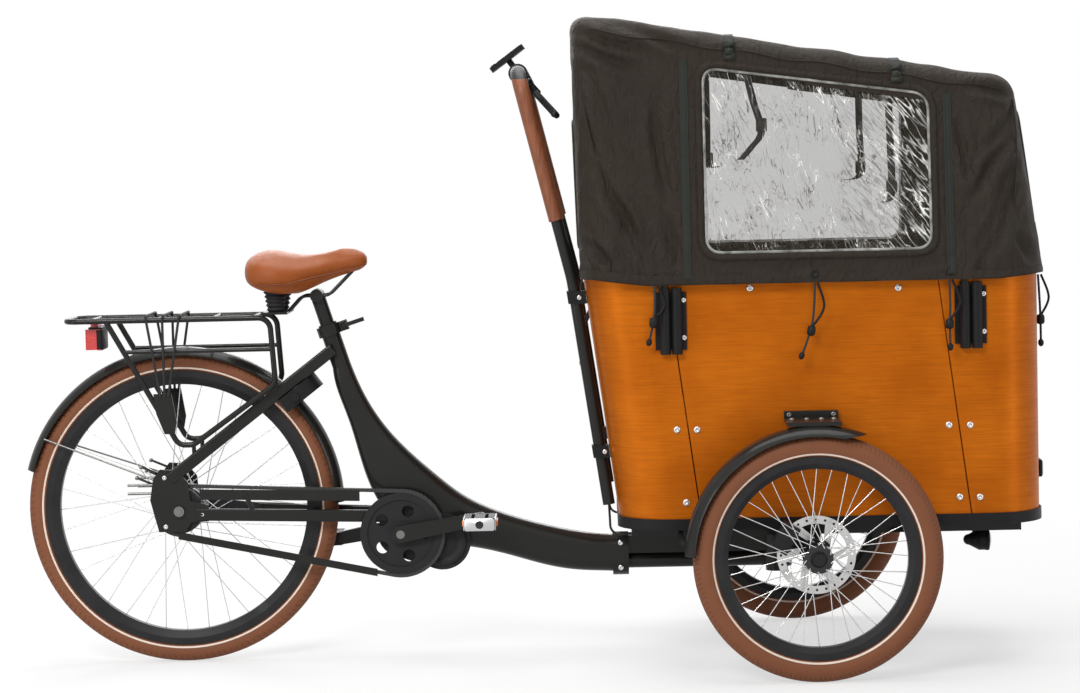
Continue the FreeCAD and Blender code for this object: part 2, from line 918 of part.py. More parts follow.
rear_wheel()
front_wheel("right", -1, RIGHT_TURN)
front_wheel("left", 1, LEFT_TURN)


# Drive: motor, cranks, sprockets, belt and pedals

def motor_housing():
    """The motor's case, bored for the crank axle; the whole case is handed on as a trimmer."""
    case = capsule(crank, Read.gearcase_r, motor, Read.motor_r, -Read.motor_half, Read.motor_half)
    bore_r = Read.crank_axle_r + Read.running_gap
    solid("motor_housing", case.cut(rod_between(crank, -Read.motor_half, Read.motor_half, bore_r)))
    return case


def sprocket_front():
    inner = "-belt_width / 2"
    outer = "belt_width / 2"
    ring_r = "front_sprocket_r - sprocket_ring"
    web_in = "-sprocket_web / 2"
    web_out = "sprocket_web / 2"
    body = turned("front_sprocket", [
        (web_in, "crank_axle_r"),
        (web_in, ring_r),
        (inner, ring_r),
        (inner, "front_sprocket_r"),
        (outer, "front_sprocket_r"),
        (outer, ring_r),
        (web_out, ring_r),
        (web_out, "sprocket_boss_r"),
        (outer, "sprocket_boss_r"),
        (outer, "crank_axle_r"),
    ])
    doc.recompute()
    slot = new_sketch(body, "sprocket_slot", "YZ_Plane")
    draw_circle(slot, "sprocket_slot_r", "sprocket_slot_circle", "0")
    polar_pocket(body, "sprocket_slots", slot, SPROCKET_SLOT_COUNT)
    node("front_sprocket", place(body, REAR_X + " + crank_dx", "-belt_line", "crank_z", RIGHT_TURN))


def sprocket_rear():
    bore = "axle_r + running_gap"
    body = turned("rear_sprocket", [
        ("-belt_width / 2", bore),
        ("-belt_width / 2", "rear_sprocket_r"),
        ("belt_width / 2", "rear_sprocket_r"),
        ("belt_width / 2", "driver_r"),
        ("belt_line - rear_hub_right - fit_gap", "driver_r"),
        ("belt_line - rear_hub_right - fit_gap", bore),
    ])
    node("rear_sprocket", place(body, REAR_X, "-belt_line", "rear_tyre_r", LEFT_TURN))


def crank_tip(side):
    """Where a pedal axle leaves its crank: the right crank points forward."""
    angle = math.radians(Read.crank_lift)
    ahead = Vector(math.cos(angle), 0, math.sin(angle)) * Read.crank_length
    return crank + ahead * (-side)


def cranks():
    arms = []
    pins = [rod_between(crank, -Read.crank_axle_half, Read.crank_axle_half, Read.crank_axle_r)]
    for side in SIDES:
        tip = crank_tip(side)
        near, far = sorted((side * Read.crank_inner, side * (Read.crank_inner + Read.crank_width)))
        arm = capsule(crank, Read.crank_root_r, tip, Read.crank_tip_r, near, far)
        hole = rod_between(crank, -2 * Read.crank_axle_half, 2 * Read.crank_axle_half, Read.crank_axle_r)
        outer = side * (Read.crank_inner + Read.pedal_gap + Read.pedal_width + Read.pedal_gap)
        pin = rod_between(tip, *sorted((side * Read.crank_inner, outer)), Read.pedal_axle_r)
        arms.append(arm.cut(hole).cut(pin))
        pins.append(pin)
    solid("crank_arms", Part.makeCompound(arms))
    solid("crank_axles", Part.makeCompound(pins))


def rod_between(centre, low_y, high_y, radius):
    """A rod across the tricycle through a point, between two sideways places."""
    return Part.makeCylinder(radius, high_y - low_y, Vector(centre.x, low_y, centre.z), ALONG_Y)


def pedal(label, side):
    """A platform pedal: a bored core and two treads between end cheeks."""
    tip_x = "%s + crank_dx + %d * crank_length * cos(crank_lift)" % (REAR_X, -side)
    tip_z = "crank_z + %d * crank_length * sin(crank_lift)" % -side
    start = "crank_inner + crank_width + pedal_gap"
    low_y = start if side > 0 else "-(%s + pedal_width)" % start
    base = block(
        label + "_base", "pedal_length", "pedal_width", "pedal_depth",
        tip_x + " - pedal_length / 2", low_y, tip_z + " - pedal_depth / 2",
    )
    slot_length = "(pedal_length - pedal_core) / 2 - pedal_tread"
    cuts = [
        rod(
            label + "_bore", "pedal_axle_r + running_gap", "pedal_width + 2 * cut_overrun",
            tip_x, low_y + " - cut_overrun", tip_z, CROSSWAYS_TURN,
        )
    ]
    for sign in SIDES:
        near = "pedal_core / 2" if sign > 0 else "-(pedal_core / 2 + %s)" % slot_length
        cuts.append(block(
            "%s_slot_%d" % (label, sign), slot_length, "pedal_width - 2 * pedal_cheek",
            "pedal_depth + 2 * cut_overrun",
            "%s + %s" % (tip_x, near), low_y + " + pedal_cheek", tip_z + " - pedal_depth / 2 - cut_overrun",
        ))
    node(label, cut_from(label, base, cuts))


def belt():
    low, high = -Read.belt_line - Read.belt_width / 2, -Read.belt_line + Read.belt_width / 2
    loops = []
    for grow in (Read.fit_gap, Read.fit_gap + Read.belt_depth):
        rear_r = Read.rear_sprocket_r + grow
        front_r = Read.front_sprocket_r + grow
        loops.append(capsule(rear_axle, rear_r, crank, front_r, low, high))
    solid("drive_belt", loops[1].cut(loops[0]))


motor_case = motor_housing()
sprocket_front()
sprocket_rear()
cranks()
pedal("pedal_right", -1)
pedal("pedal_left", 1)
belt()


# Frame: main tube, stays and dropouts

# Each section of the main tube: its place between the seat top and the beam joint,
# its heading below level, and its half height and half width against the tube's end
TUBE_SECTION_SHARES = (
    (0.105, 0.622, 66, 0.70, 0.77),
    (0.176, 0.444, 60, 1.17, 0.90),
    (0.280, 0.267, 43, 1.65, 1.05),
    (0.416, 0.163, 26, 1.40, 1.05),
    (0.567, 0.105, 17, 1.07, 1.00),
    (0.731, 0.046, 11, 1.05, 1.00),
    (0.897, 0.009, 5, 1.01, 1.00),
    (1.000, 0.000, 0, 1.00, 1.00),
)
TUBE_CORNER_SHARE = 0.86

# Dropout outline against its length and height, from the axle
DROPOUT_SHARES = (
    (-0.36, -0.33), (0.10, -0.33), (0.20, -0.18), (0.50, -0.17), (0.50, 0.09), (0.19, 0.16),
    (0.16, 0.45), (-0.02, 0.65), (-0.32, 0.67), (-0.44, 0.52), (-0.50, 0.18),
)


def tube_loft(inset, shorten):
    sections = []
    sole = seat_top - post_up * Read.seat_tube_length
    across = FORWARD * post_up.z - UP * post_up.x
    half = Read.seat_tube_r - inset
    sections.append(rounded_wire(sole, across, ALONG_Y, half, half, half * TUBE_CORNER_SHARE))
    run_x = beam_joint.x - seat_top.x
    run_z = seat_top.z - beam_joint.z
    for share_x, share_z, heading, share_high, share_wide in TUBE_SECTION_SHARES:
        centre = Vector(seat_top.x + share_x * run_x, 0, beam_joint.z + share_z * run_z)
        if share_x == 1:
            centre -= FORWARD * shorten
        angle = math.radians(heading)
        normal = Vector(math.sin(angle), 0, math.cos(angle))
        high = share_high * Read.tube_end_half - inset
        wide = share_wide * Read.tube_end_width - inset
        corner = min(high, wide) * TUBE_CORNER_SHARE
        sections.append(rounded_wire(centre, normal, ALONG_Y, high, wide, corner))
    return Part.makeLoft(sections, True, False)


def main_tube():
    """The open main tube, and the same form left whole to trim its neighbours."""
    whole = tube_loft(0, 0)
    length = Read.seat_tube_length
    whole = whole.fuse(Part.makeCylinder(Read.seat_tube_r, length, seat_top, post_up * -1))
    bore_r = Read.post_r + Read.running_gap
    bore_length = Read.post_inside + 2 * Read.cut_overrun
    bore = Part.makeCylinder(bore_r, bore_length, seat_top + post_up * Read.cut_overrun, post_up * -1)
    inside = tube_loft(Read.tube_wall, Read.tube_wall)
    solid("main_frame_tube", whole.cut(inside).cut(bore).cut(motor_case))
    return whole


def dropout_plates():
    outline = [
        ("%.2f * dropout_length" % x, "%.2f * dropout_height" % z) for x, z in DROPOUT_SHARES
    ]
    base = padded("dropout_base", outline, "dropout_width")
    place(base, REAR_X, "-dropout_y", "rear_tyre_r")
    hole = rod(
        "dropout_hole", "axle_r", "dropout_width + 2 * cut_overrun",
        REAR_X, "-dropout_y - dropout_width / 2 - cut_overrun", "rear_tyre_r", CROSSWAYS_TURN,
    )
    paired("dropouts", cut_from("dropout_plate", base, [hole]))
    doc.recompute()
    return base.Shape


def seat_stay_ends():
    """Middle of the right seat stay at its foot and at its top."""
    foot = from_rear(-Read.seat_stay_foot_dx, -Read.dropout_y, Read.seat_stay_foot_z)
    top = from_rear(Read.seat_stay_top_dx, -Read.seat_stay_top_y, Read.seat_stay_top_z)
    return foot, top


def chain_stay_ends():
    start_z = Read.rear_tyre_r - Read.chain_stay_drop
    start = from_rear(Read.chain_stay_start, -Read.chain_stay_rear_y, start_z)
    end = Vector(crank.x, -Read.chain_stay_front_y, crank.z + Read.chain_stay_rise)
    return start, end


def seat_stays(plate):
    """The pair of stays; the right one is handed on to trim what stands on it."""
    right = bar_between(*seat_stay_ends(), Read.seat_stay_width / 2, Read.seat_stay_half, Read.stay_corner)
    right = right.cut(whole_tube).cut(plate)
    solid("seat_stays", both_sides(right))
    return right


def chain_stays(plate):
    """The lower pair of stays and the belt's two guards, the upper one tied to the right stay."""
    start, end = chain_stay_ends()
    right = bar_between(start, end, Read.chain_stay_width / 2, Read.chain_stay_half, Read.stay_corner)
    right = right.cut(motor_case).cut(whole_tube).cut(plate)
    left = right.mirror(Vector(0, 0, 0), ALONG_Y)
    solid("chain_stays", Part.makeCompound([right.fuse(high_guard(start, end)), left] + low_guard()))


def guard_strip(rear, front, half):
    """A flat upright strip on the outside of the belt, between the middles of its two ends."""
    outline = [rear + UP * half, front + UP * half, front - UP * half, rear - UP * half]
    return polygon_prism(outline, ALONG_Y * -Read.guard_width)


def low_guard():
    """The strip along the belt's lower run, and the clip that holds it to the dropout's inner face."""
    rear = from_rear(Read.low_guard_rear_dx, -Read.guard_y, Read.low_guard_rear_z)
    front = from_rear(Read.low_guard_front_dx, -Read.guard_y, Read.low_guard_front_z)
    strip = guard_strip(rear, front, Read.low_guard_half)
    foot = [rear + UP * Read.low_guard_half]
    foot.append(foot[0] + (front - rear) * (Read.guard_clip_length / (front - rear).x))
    head = [Vector(point.x, point.y, Read.guard_clip_top_z) for point in reversed(foot)]
    clip_width = Read.dropout_y - Read.dropout_width / 2 - Read.guard_y
    return [strip, polygon_prism(foot + head, ALONG_Y * -clip_width)]


def high_guard(start, end):
    """The strip along the belt's upper run, with a tie to the stay."""
    rear = from_rear(Read.guard_rear_dx, -Read.guard_y, Read.guard_rear_z)
    front = from_rear(Read.guard_front_dx, -Read.guard_y, Read.guard_front_z)
    strip = guard_strip(rear, front, Read.guard_half)
    share = (Read.guard_tie_dx - Read.chain_stay_start) / (end - start).x
    low = start + (end - start) * share
    high = rear + (front - rear) * share - ALONG_Y * (Read.guard_width / 2)
    return strip.fuse(straight_tube(low, high, Read.guard_tie_r))


whole_tube = main_tube()
plate_shape = dropout_plates()
right_stay = seat_stays(plate_shape)
chain_stays(plate_shape)


# Rear axle, brake, mudguard, rack and lock

# Where screws and wires start in the dropout's length, and where a wire meets the
# mudguard's arch between its crest and its edge
DROPOUT_SCREW_SHARE = 0.4
WIRE_SEAT_SHARE = 0.92


def rear_axle_set():
    """The axle with its nuts, the belt tension screws and the mudguard wires."""
    axle = rod_between(rear_axle, -Read.axle_half, Read.axle_half, Read.axle_r)
    outer = Read.dropout_y + Read.dropout_width / 2
    for side in SIDES:
        ends = sorted((side * outer, side * (outer + Read.axle_nut_width)))
        axle = axle.fuse(rod_between(rear_axle, *ends, Read.axle_nut_r))
    pieces = [axle]
    right = [mudguard_wire()]
    for lift in (Read.screw_low, Read.screw_high):
        head = rear_axle + Vector(-DROPOUT_SCREW_SHARE * Read.dropout_length, -Read.dropout_y, lift)
        right.append(straight_tube(head, head - FORWARD * Read.screw_length, Read.screw_r))
    for piece in right:
        pieces += both_sides(piece.cut(plate_shape)).Solids
    solid("rear_axle", Part.makeCompound(pieces))


def mudguard_inner_r():
    return Read.rear_tyre_r + Read.mudguard_gap


def mudguard_wire():
    """A thin wire from the right dropout up to the outside of the mudguard."""
    angle = math.radians(Read.wire_angle)
    section = math.radians(WIRE_SEAT_SHARE * Read.mudguard_section_angle)
    outer_r = Read.mudguard_section_r + Read.mudguard_wall
    seat_r = mudguard_inner_r() - Read.mudguard_section_r + outer_r * math.cos(section)
    top_y = -outer_r * math.sin(section)
    top = rear_axle + Vector(-math.cos(angle) * seat_r, top_y, math.sin(angle) * seat_r)
    foot = rear_axle + Vector(-DROPOUT_SCREW_SHARE * Read.dropout_length, -Read.dropout_y, Read.wire_foot)
    return straight_tube(foot, top, Read.wire_r).cut(nodes["rear_mudguard"].Shape)


def rear_brake():
    """A hub brake on the left of the hub, held by an arm along the chain stay."""
    low = Read.rear_hub_left + Read.hub_flange_width / 2
    high = low + Read.brake_drum_width
    drum = rod_between(rear_axle, low, high, Read.brake_drum_r)
    arm_end = rear_axle + Vector(Read.brake_arm_length, 0, -Read.chain_stay_drop)
    arm_low = high - Read.brake_arm_width
    arm = capsule(rear_axle, Read.driver_r, arm_end, Read.brake_arm_half, arm_low, high)
    solid("rear_brake", drum.fuse(arm).cut(rod_between(rear_axle, low, high, Read.axle_r)))


def rear_guard():
    shape = guard_shape(
        rear_axle, mudguard_inner_r(), Read.mudguard_section_r,
        180 - Read.mudguard_tail_angle, Read.mudguard_front_angle,
    )
    solid("rear_mudguard", shape)


# Cross bars of the rack along its top, and the start of its low rail along its leg
RACK_BAR_SHARES = (0.125, 0.45, 0.72, 0.92)
RACK_LOW_RAIL_SHARE = 0.72

# Corners of a strap plate, against its length back from the axle and its height
STRAP_PLATE_SHARES = ((-1, 1), (-0.2, 1), (0, 0.45), (-0.1, 0.22), (-0.55, 0.22), (-0.9, 0.62))


def rack():
    """A bent top frame on two bent side frames, with cross bars, low rails and feet."""
    y = Read.rack_half
    join_x = (Read.rack_front - Read.rack_rear) / 2
    top = bent_tube(
        [
            from_rear(join_x, -y, Read.rack_z),
            from_rear(-Read.rack_rear, -y, Read.rack_z),
            from_rear(-Read.rack_rear, y, Read.rack_z),
            from_rear(join_x, y, Read.rack_z),
        ],
        Read.rack_r, Read.rack_bend,
    )
    side = rack_side(join_x)
    pieces = both_sides(side).Solids
    for share in RACK_BAR_SHARES:
        bar_x = rear_x - Read.rack_rear + share * (Read.rack_rear + Read.rack_front)
        pieces.append(rod_between(Vector(bar_x, 0, Read.rack_z), -y, y, Read.rack_bar_r))
    solid("rear_rack", top.fuse(pieces))


def rack_side(join_x):
    """The right side frame with its low rail, strap plate and the lug on the seat stay."""
    y = -Read.rack_half
    foot_front = from_rear(Read.rack_foot_front, y, Read.rack_foot_z)
    run = [
        from_rear(-Read.rack_leg_dx, y, Read.rack_z),
        from_rear(Read.rack_foot_back, y, Read.rack_foot_z),
        foot_front,
        from_rear(Read.rack_knee_dx, y, Read.rack_knee_z),
        from_rear(Read.rack_front, y, Read.rack_z),
        from_rear(join_x, y, Read.rack_z),
    ]
    low_rail = straight_tube(
        from_rear(-Read.rack_leg_dx * RACK_LOW_RAIL_SHARE, y, Read.rack_low_z),
        from_rear(Read.rack_front, y, Read.rack_low_z),
        Read.rack_bar_r,
    )
    plate_y = y - Read.rack_r / 2 - Read.strap_plate_width
    corners = [
        from_rear(along * Read.strap_plate_length, plate_y, Read.rack_foot_z + up * Read.strap_plate_height)
        for along, up in STRAP_PLATE_SHARES
    ]
    plate = polygon_prism(corners, ALONG_Y * Read.strap_plate_width)
    lug = straight_tube(stay_point(Read.rack_foot_front), foot_front, Read.rack_bar_r).cut(right_stay)
    return bent_tube(run, Read.rack_r, Read.rack_bend).fuse([low_rail, plate, lug])


def stay_point(dx):
    """A point on the middle line of the right seat stay, forward of the rear axle."""
    foot, top = seat_stay_ends()
    return foot + (top - foot) * ((rear_x + dx - foot.x) / (top.x - foot.x))


# Where the elastic straps cross the rack's top, against the strap plate's length
STRAP_SHARES = (-1.25, -0.5, 0.25)


def straps():
    """Elastic straps from one strap plate, over the rack, to the other."""
    ropes = []
    high = Read.rack_z + Read.rack_r + Read.strap_r + Read.fit_gap
    out = Read.rack_half + Read.rack_r + Read.strap_r + Read.fit_gap
    foot_y = Read.rack_half + Read.rack_r / 2 + Read.strap_plate_width + Read.strap_r + Read.fit_gap
    foot_z = Read.rack_foot_z + Read.strap_plate_height - Read.cut_overrun
    for index, share in enumerate(STRAP_SHARES):
        top_x = share * Read.strap_plate_length
        foot_x = (index - 1) * 3 * Read.strap_r - Read.strap_plate_length / 2
        run = [
            from_rear(foot_x, -foot_y, foot_z),
            from_rear(top_x, -out, high),
            from_rear(top_x, out, high),
            from_rear(foot_x, foot_y, foot_z),
        ]
        ropes.append(bent_tube(run, Read.strap_r, 2 * Read.strap_r))
    solid("rack_straps", Part.makeCompound(ropes))


def tail_lamp():
    """A lamp that hangs on a short bracket from the rack's rear cross bar."""
    bracket_z = "rack_z - rack_bar_r - fit_gap - lamp_stem"
    case = block(
        "lamp_case", "lamp_length", "2 * lamp_half", "lamp_height",
        REAR_X + " - lamp_dx - lamp_length / 2", "-lamp_half", bracket_z + " - lamp_height",
    )
    bracket = block(
        "lamp_bracket", "lamp_length / 2", "lamp_half", "lamp_stem",
        REAR_X + " - lamp_dx - lamp_length / 4", "-lamp_half / 2", bracket_z,
    )
    node("tail_light", joined("tail_light", [case, bracket]))


def ring_lock():
    """A horseshoe over the tyre and mudguard, fixed to the lower side of the seat stays."""
    foot, top = seat_stay_ends()
    outward = Vector(top.x - foot.x, 0, top.z - foot.z).normalize()
    below = Vector(outward.z, 0, -outward.x)
    stay_line = Vector(foot.x, 0, foot.z) + outward * Read.lock_along
    centre = stay_line + below * (Read.seat_stay_half + Read.fit_gap)
    inner, outer = Read.lock_inner_r, Read.lock_inner_r + Read.lock_wall

    def arch(radius):
        ends = [centre + ALONG_Y * (sign * radius) for sign in SIDES]
        return Part.Arc(ends[0], centre + outward * radius, ends[1])

    drop = outward * -Read.lock_leg
    high, low = arch(outer), arch(inner)
    edges = [high.toShape(), low.toShape()]
    for first, second in ((high.StartPoint, low.StartPoint), (high.EndPoint, low.EndPoint)):
        edges.append(Part.LineSegment(first, first + drop).toShape())
        edges.append(Part.LineSegment(first + drop, second + drop).toShape())
        edges.append(Part.LineSegment(second + drop, second).toShape())
    face = Part.Face(Part.Wire(Part.__sortEdges__(edges)))
    shackle = face.extrude(below * Read.lock_width)
    key_middle = centre + below * (Read.lock_width / 2)
    key = rod_between(key_middle, -outer - Read.lock_key_length, -inner - Read.lock_wall / 2, Read.lock_key_r)
    solid("ring_lock", shackle.fuse(key))


rear_guard()
rear_axle_set()
rear_brake()
rack()
straps()
tail_lamp()
ring_lock()


# Saddle, its post, springs and clamp

# Saddle sections from tail to nose: place along the length, half width, top and bottom
SADDLE_SECTION_SHARES = (
    (0.00, 0.42, 0.72, 0.40),
    (0.05, 0.80, 0.88, 0.20),
    (0.14, 0.97, 0.97, 0.08),
    (0.28, 1.00, 0.94, 0.00),
    (0.44, 0.82, 0.84, 0.05),
    (0.60, 0.53, 0.84, 0.24),
    (0.76, 0.36, 0.94, 0.42),
    (0.90, 0.30, 1.00, 0.54),
    (1.00, 0.17, 0.86, 0.62),
)
CROWN_EDGE_SHARE = 0.90
CROWN_DROP_SHARE = 0.30
BELLY_DROP_SHARE = 0.58
SOLE_SHARE = 0.78


def saddle_section(share_x, share_wide, share_top, share_low):
    """A closed section with a crowned top, bulging sides drawn in below, and a flat sole."""
    x = rear_x + Read.saddle_back_dx + share_x * Read.saddle_length
    half = share_wide * Read.saddle_half
    top = Read.saddle_low_z + share_top * Read.saddle_height
    low = Read.saddle_low_z + share_low * Read.saddle_height
    crown_z = top - CROWN_DROP_SHARE * (top - low)
    belly_z = top - BELLY_DROP_SHARE * (top - low)
    crown = [Vector(x, sign * CROWN_EDGE_SHARE * half, crown_z) for sign in SIDES]
    belly = [Vector(x, sign * half, belly_z) for sign in SIDES]
    sole = [Vector(x, sign * SOLE_SHARE * half, low) for sign in SIDES]
    return Part.Wire([
        Part.Arc(crown[0], Vector(x, 0, top), crown[1]).toShape(),
        Part.Arc(crown[1], belly[1], sole[1]).toShape(),
        Part.LineSegment(sole[1], sole[0]).toShape(),
        Part.Arc(sole[0], belly[0], crown[0]).toShape(),
    ])


def saddle_pad():
    sections = [saddle_section(*shares) for shares in SADDLE_SECTION_SHARES]
    return Part.makeLoft(sections, True, False)


# Width of a bellows at its foot against its width at the top
BELLOWS_FOOT_SHARE = 0.7


def saddle_springs():
    """Two ribbed rubber bellows that stand on the saddle plate and widen upward."""

    def ring(step, radius):
        up_share = step / (2 * BELLOWS_RIB_COUNT)
        wide_share = BELLOWS_FOOT_SHARE + (1 - BELLOWS_FOOT_SHARE) * up_share
        return "%.3f * bellows_height" % up_share, "%.3f * %s" % (wide_share, radius)

    profile = [("0", "0"), ring(0, "bellows_waist_r")]
    for rib in range(BELLOWS_RIB_COUNT):
        profile.append(ring(2 * rib + 1, "bellows_r"))
        profile.append(ring(2 * rib + 2, "bellows_waist_r"))
    profile.append(("bellows_height", "0"))
    body = place(
        turned("bellows", profile),
        REAR_X + " + bellows_dx", "-bellows_half", "bellows_base_z", UPRIGHT_TURN,
    )
    paired("saddle_bellows", cut_from("bellows_trimmed", body, [nodes["saddle_pad"]]))


def post_point(along):
    """A point on the seat post's axis, above the top of the seat tube."""
    return seat_top + post_up * along


def saddle_set():
    """The pad, the post with its cross head, and the rails and plate that join them."""
    pad = saddle_pad()
    solid("saddle_pad", pad)
    head = post_point(Read.post_above + Read.head_r)
    head_block = rod_between(head, -Read.head_half, Read.head_half, Read.head_r)
    foot = post_point(-Read.post_inside)
    post = straight_tube(foot, head, Read.post_r)
    solid("seat_post", post.cut(head_block))
    plate_z = Read.bellows_base_z - Read.saddle_plate
    plate_half = Read.bellows_half + Read.bellows_r
    plate = Part.makeBox(
        2 * Read.saddle_plate_half, 2 * plate_half, Read.saddle_plate,
        from_rear(Read.bellows_dx - Read.saddle_plate_half, -plate_half, plate_z),
    )
    tail_x = rear_x + Read.bellows_dx + Read.saddle_plate_half - Read.rail_r
    rails = []
    for side in SIDES:
        y = side * Read.rail_half
        run = [
            Vector(tail_x, y, plate_z + Read.saddle_plate / 2),
            Vector((tail_x + head.x) / 2, y, head.z),
            Vector(head.x + Read.head_half, y, head.z),
            from_rear(Read.rail_nose_dx, y / 2, Read.rail_nose_z),
        ]
        rails.append(bent_tube(run, Read.rail_r, Read.head_half))
    solid("saddle_rails", plate.fuse([head_block] + rails).cut(pad))
    saddle_springs()


def collar_ahead():
    """The way the seat clamp's ear points: forward, square to the post."""
    return FORWARD * post_up.z - UP * post_up.x


def seat_collar():
    """The clamp round the top of the seat tube, with an ear in front for its lever."""
    top = seat_top - post_up * Read.collar_drop
    middle = top - post_up * (Read.collar_height / 2)
    ring = Part.makeCylinder(Read.seat_tube_r + Read.collar_wall, Read.collar_height, top, post_up * -1)
    tip = middle + collar_ahead() * (Read.seat_tube_r + Read.collar_wall + Read.collar_ear)
    ear = bar_between(middle, tip, Read.lever_width, Read.collar_height / 2, Read.lever_depth / 2)
    bore = Part.makeCylinder(Read.seat_tube_r + Read.running_gap, Read.collar_height, top, post_up * -1)
    return ring.fuse(ear).cut(bore), tip


def clamp_lever(tip):
    """The quick lever on the right of the clamp's ear: it points ahead when closed."""
    inset = Read.lever_width / 2
    start = tip - collar_ahead() * Read.lever_width - ALONG_Y * (Read.lever_width + inset + Read.fit_gap)
    end = start + collar_ahead() * Read.lever_length
    blade = bar_between(start, end, Read.lever_depth / 2, inset, Read.lever_depth / 4)
    pivot_foot = start - post_up * (Read.collar_height / 4)
    pivot = Part.makeCylinder(inset, Read.collar_height / 2, pivot_foot, post_up)
    solid("clamp_lever", blade.fuse(pivot))


def tube_end_wire(at, grow):
    """The outline of the main tube's front end, grown evenly."""
    corner = Read.tube_end_width * TUBE_CORNER_SHARE
    return rounded_wire(at, ALONG_Y, UP, Read.tube_end_width + grow, Read.tube_end_half + grow, corner + grow)


def joint_collar():
    """The collar that clamps the main tube to the steering beam."""
    length = Read.joint_collar_length
    back = beam_joint - FORWARD * (length / 2)
    sleeve = Part.Face(tube_end_wire(back, Read.joint_collar_wall)).extrude(FORWARD * length)
    hole = Part.Face(tube_end_wire(back, Read.running_gap)).extrude(FORWARD * length)
    return sleeve.cut(hole).cut(whole_tube)


saddle_set()
seat_ring, ear_tip = seat_collar()
clamp_lever(ear_tip)
solid("frame_clamps", Part.makeCompound([seat_ring, joint_collar()]))


# Steering beam, chassis and box

def steering_beam():
    """A round tube with a box tube on it, from the joint to the king pin's boss."""
    in_collar = Read.joint_collar_length / 2
    flange = Part.Face(tube_end_wire(beam_joint, 0)).extrude(FORWARD * in_collar)
    low = Vector(beam_joint.x + in_collar, 0, Read.beam_z)
    low_tube = straight_tube(low, Vector(king_pin.x, 0, Read.beam_z), Read.beam_r)
    box_z = Read.beam_z + Read.beam_r - Read.fit_gap
    top_tube = Part.makeBox(
        king_pin.x - low.x, Read.beam_box, Read.beam_box, Vector(low.x, -Read.beam_box / 2, box_z),
    )
    boss_low = Read.beam_z - Read.beam_r
    boss_high = box_z + Read.beam_box
    at_pin = Vector(king_pin.x, 0, boss_low)
    boss = Part.makeCylinder(Read.king_boss_r, boss_high - boss_low, at_pin)
    bore = Part.makeCylinder(Read.king_pin_r + Read.running_gap, boss_high - boss_low, at_pin)
    solid("steering_beam", flange.fuse([low_tube, top_tube, boss]).cut(bore))
    return boss_low, boss_high


def chassis(boss_low, boss_high):
    """Rails and plates below the box, the axle tube with its stubs, and the king pin."""
    rail_low = Read.chassis_top_z - Read.chassis_rail_height
    length = Read.chassis_front + Read.chassis_back
    half_rail = Read.chassis_rail_width / 2
    pieces = []
    for side in SIDES:
        corner = from_front(-Read.chassis_back, side * Read.chassis_rail_y - half_rail, rail_low)
        pieces.append(Part.makeBox(length, Read.chassis_rail_width, Read.chassis_rail_height, corner))
    for start in (-Read.chassis_back, Read.chassis_front - Read.chassis_rail_width):
        corner = from_front(start, -Read.chassis_rail_y, rail_low)
        pieces.append(Part.makeBox(
            Read.chassis_rail_width, 2 * Read.chassis_rail_y, Read.chassis_rail_height, corner,
        ))
    plate = Part.makeBox(
        Read.chassis_plate_length, 2 * Read.chassis_rail_y, Read.chassis_plate,
        Vector(king_pin.x - Read.chassis_plate_length / 2, -Read.chassis_rail_y, rail_low),
    )
    pieces.append(plate)
    collar_low = boss_high + Read.fit_gap
    pieces.append(Part.makeCylinder(
        Read.king_collar_r, rail_low - collar_low, Vector(king_pin.x, 0, collar_low),
    ))
    nut_low = boss_low - Read.fit_gap - Read.king_nut_height
    pieces.append(Part.makeCylinder(Read.king_pin_r, rail_low - nut_low, Vector(king_pin.x, 0, nut_low)))
    pieces.append(Part.makeCylinder(Read.king_nut_r, Read.king_nut_height, Vector(king_pin.x, 0, nut_low)))
    axle = from_front(0, 0, Read.front_tyre_r)
    tube_half = Read.track / 2 - Read.front_hub_in - Read.disc_width - Read.axle_tube_gap
    pieces.append(rod_between(axle, -tube_half, tube_half, Read.axle_tube_r))
    stub_end = Read.track / 2 + Read.front_hub_out + Read.fit_gap
    pieces.append(rod_between(axle, -stub_end, stub_end, Read.stub_r))
    for side in SIDES:
        ends = sorted((side * stub_end, side * (stub_end + Read.stub_nut_width)))
        pieces.append(rod_between(axle, *ends, Read.stub_nut_r))
        pieces.append(axle_hanger(side, rail_low))
        pieces.append(guard_stay(side, rail_low))
    solid("front_chassis", pieces[0].fuse(pieces[1:]))


def axle_hanger(side, rail_low):
    """A plate that hangs the axle tube from a chassis rail."""
    half = Read.chassis_rail_width / 2
    corner = from_front(-Read.axle_tube_r, side * Read.chassis_rail_y - half, Read.front_tyre_r)
    height = rail_low - Read.front_tyre_r + half
    return Part.makeBox(2 * Read.axle_tube_r, Read.chassis_rail_width, height, corner)


def guard_stay(side, rail_low):
    """A rod from a chassis rail out to the low end of a front mudguard."""
    inner_r = Read.front_tyre_r + Read.front_mudguard_gap
    stay_z = rail_low + Read.chassis_rail_height / 2
    reach = math.sqrt((inner_r + Read.mudguard_wall) ** 2 - (stay_z - Read.front_tyre_r) ** 2)
    place_x = -(reach + Read.fit_gap + Read.mudguard_stay_r)
    start = from_front(place_x, side * Read.chassis_rail_y, stay_z)
    return straight_tube(start, from_front(place_x, side * Read.track / 2, stay_z), Read.mudguard_stay_r)


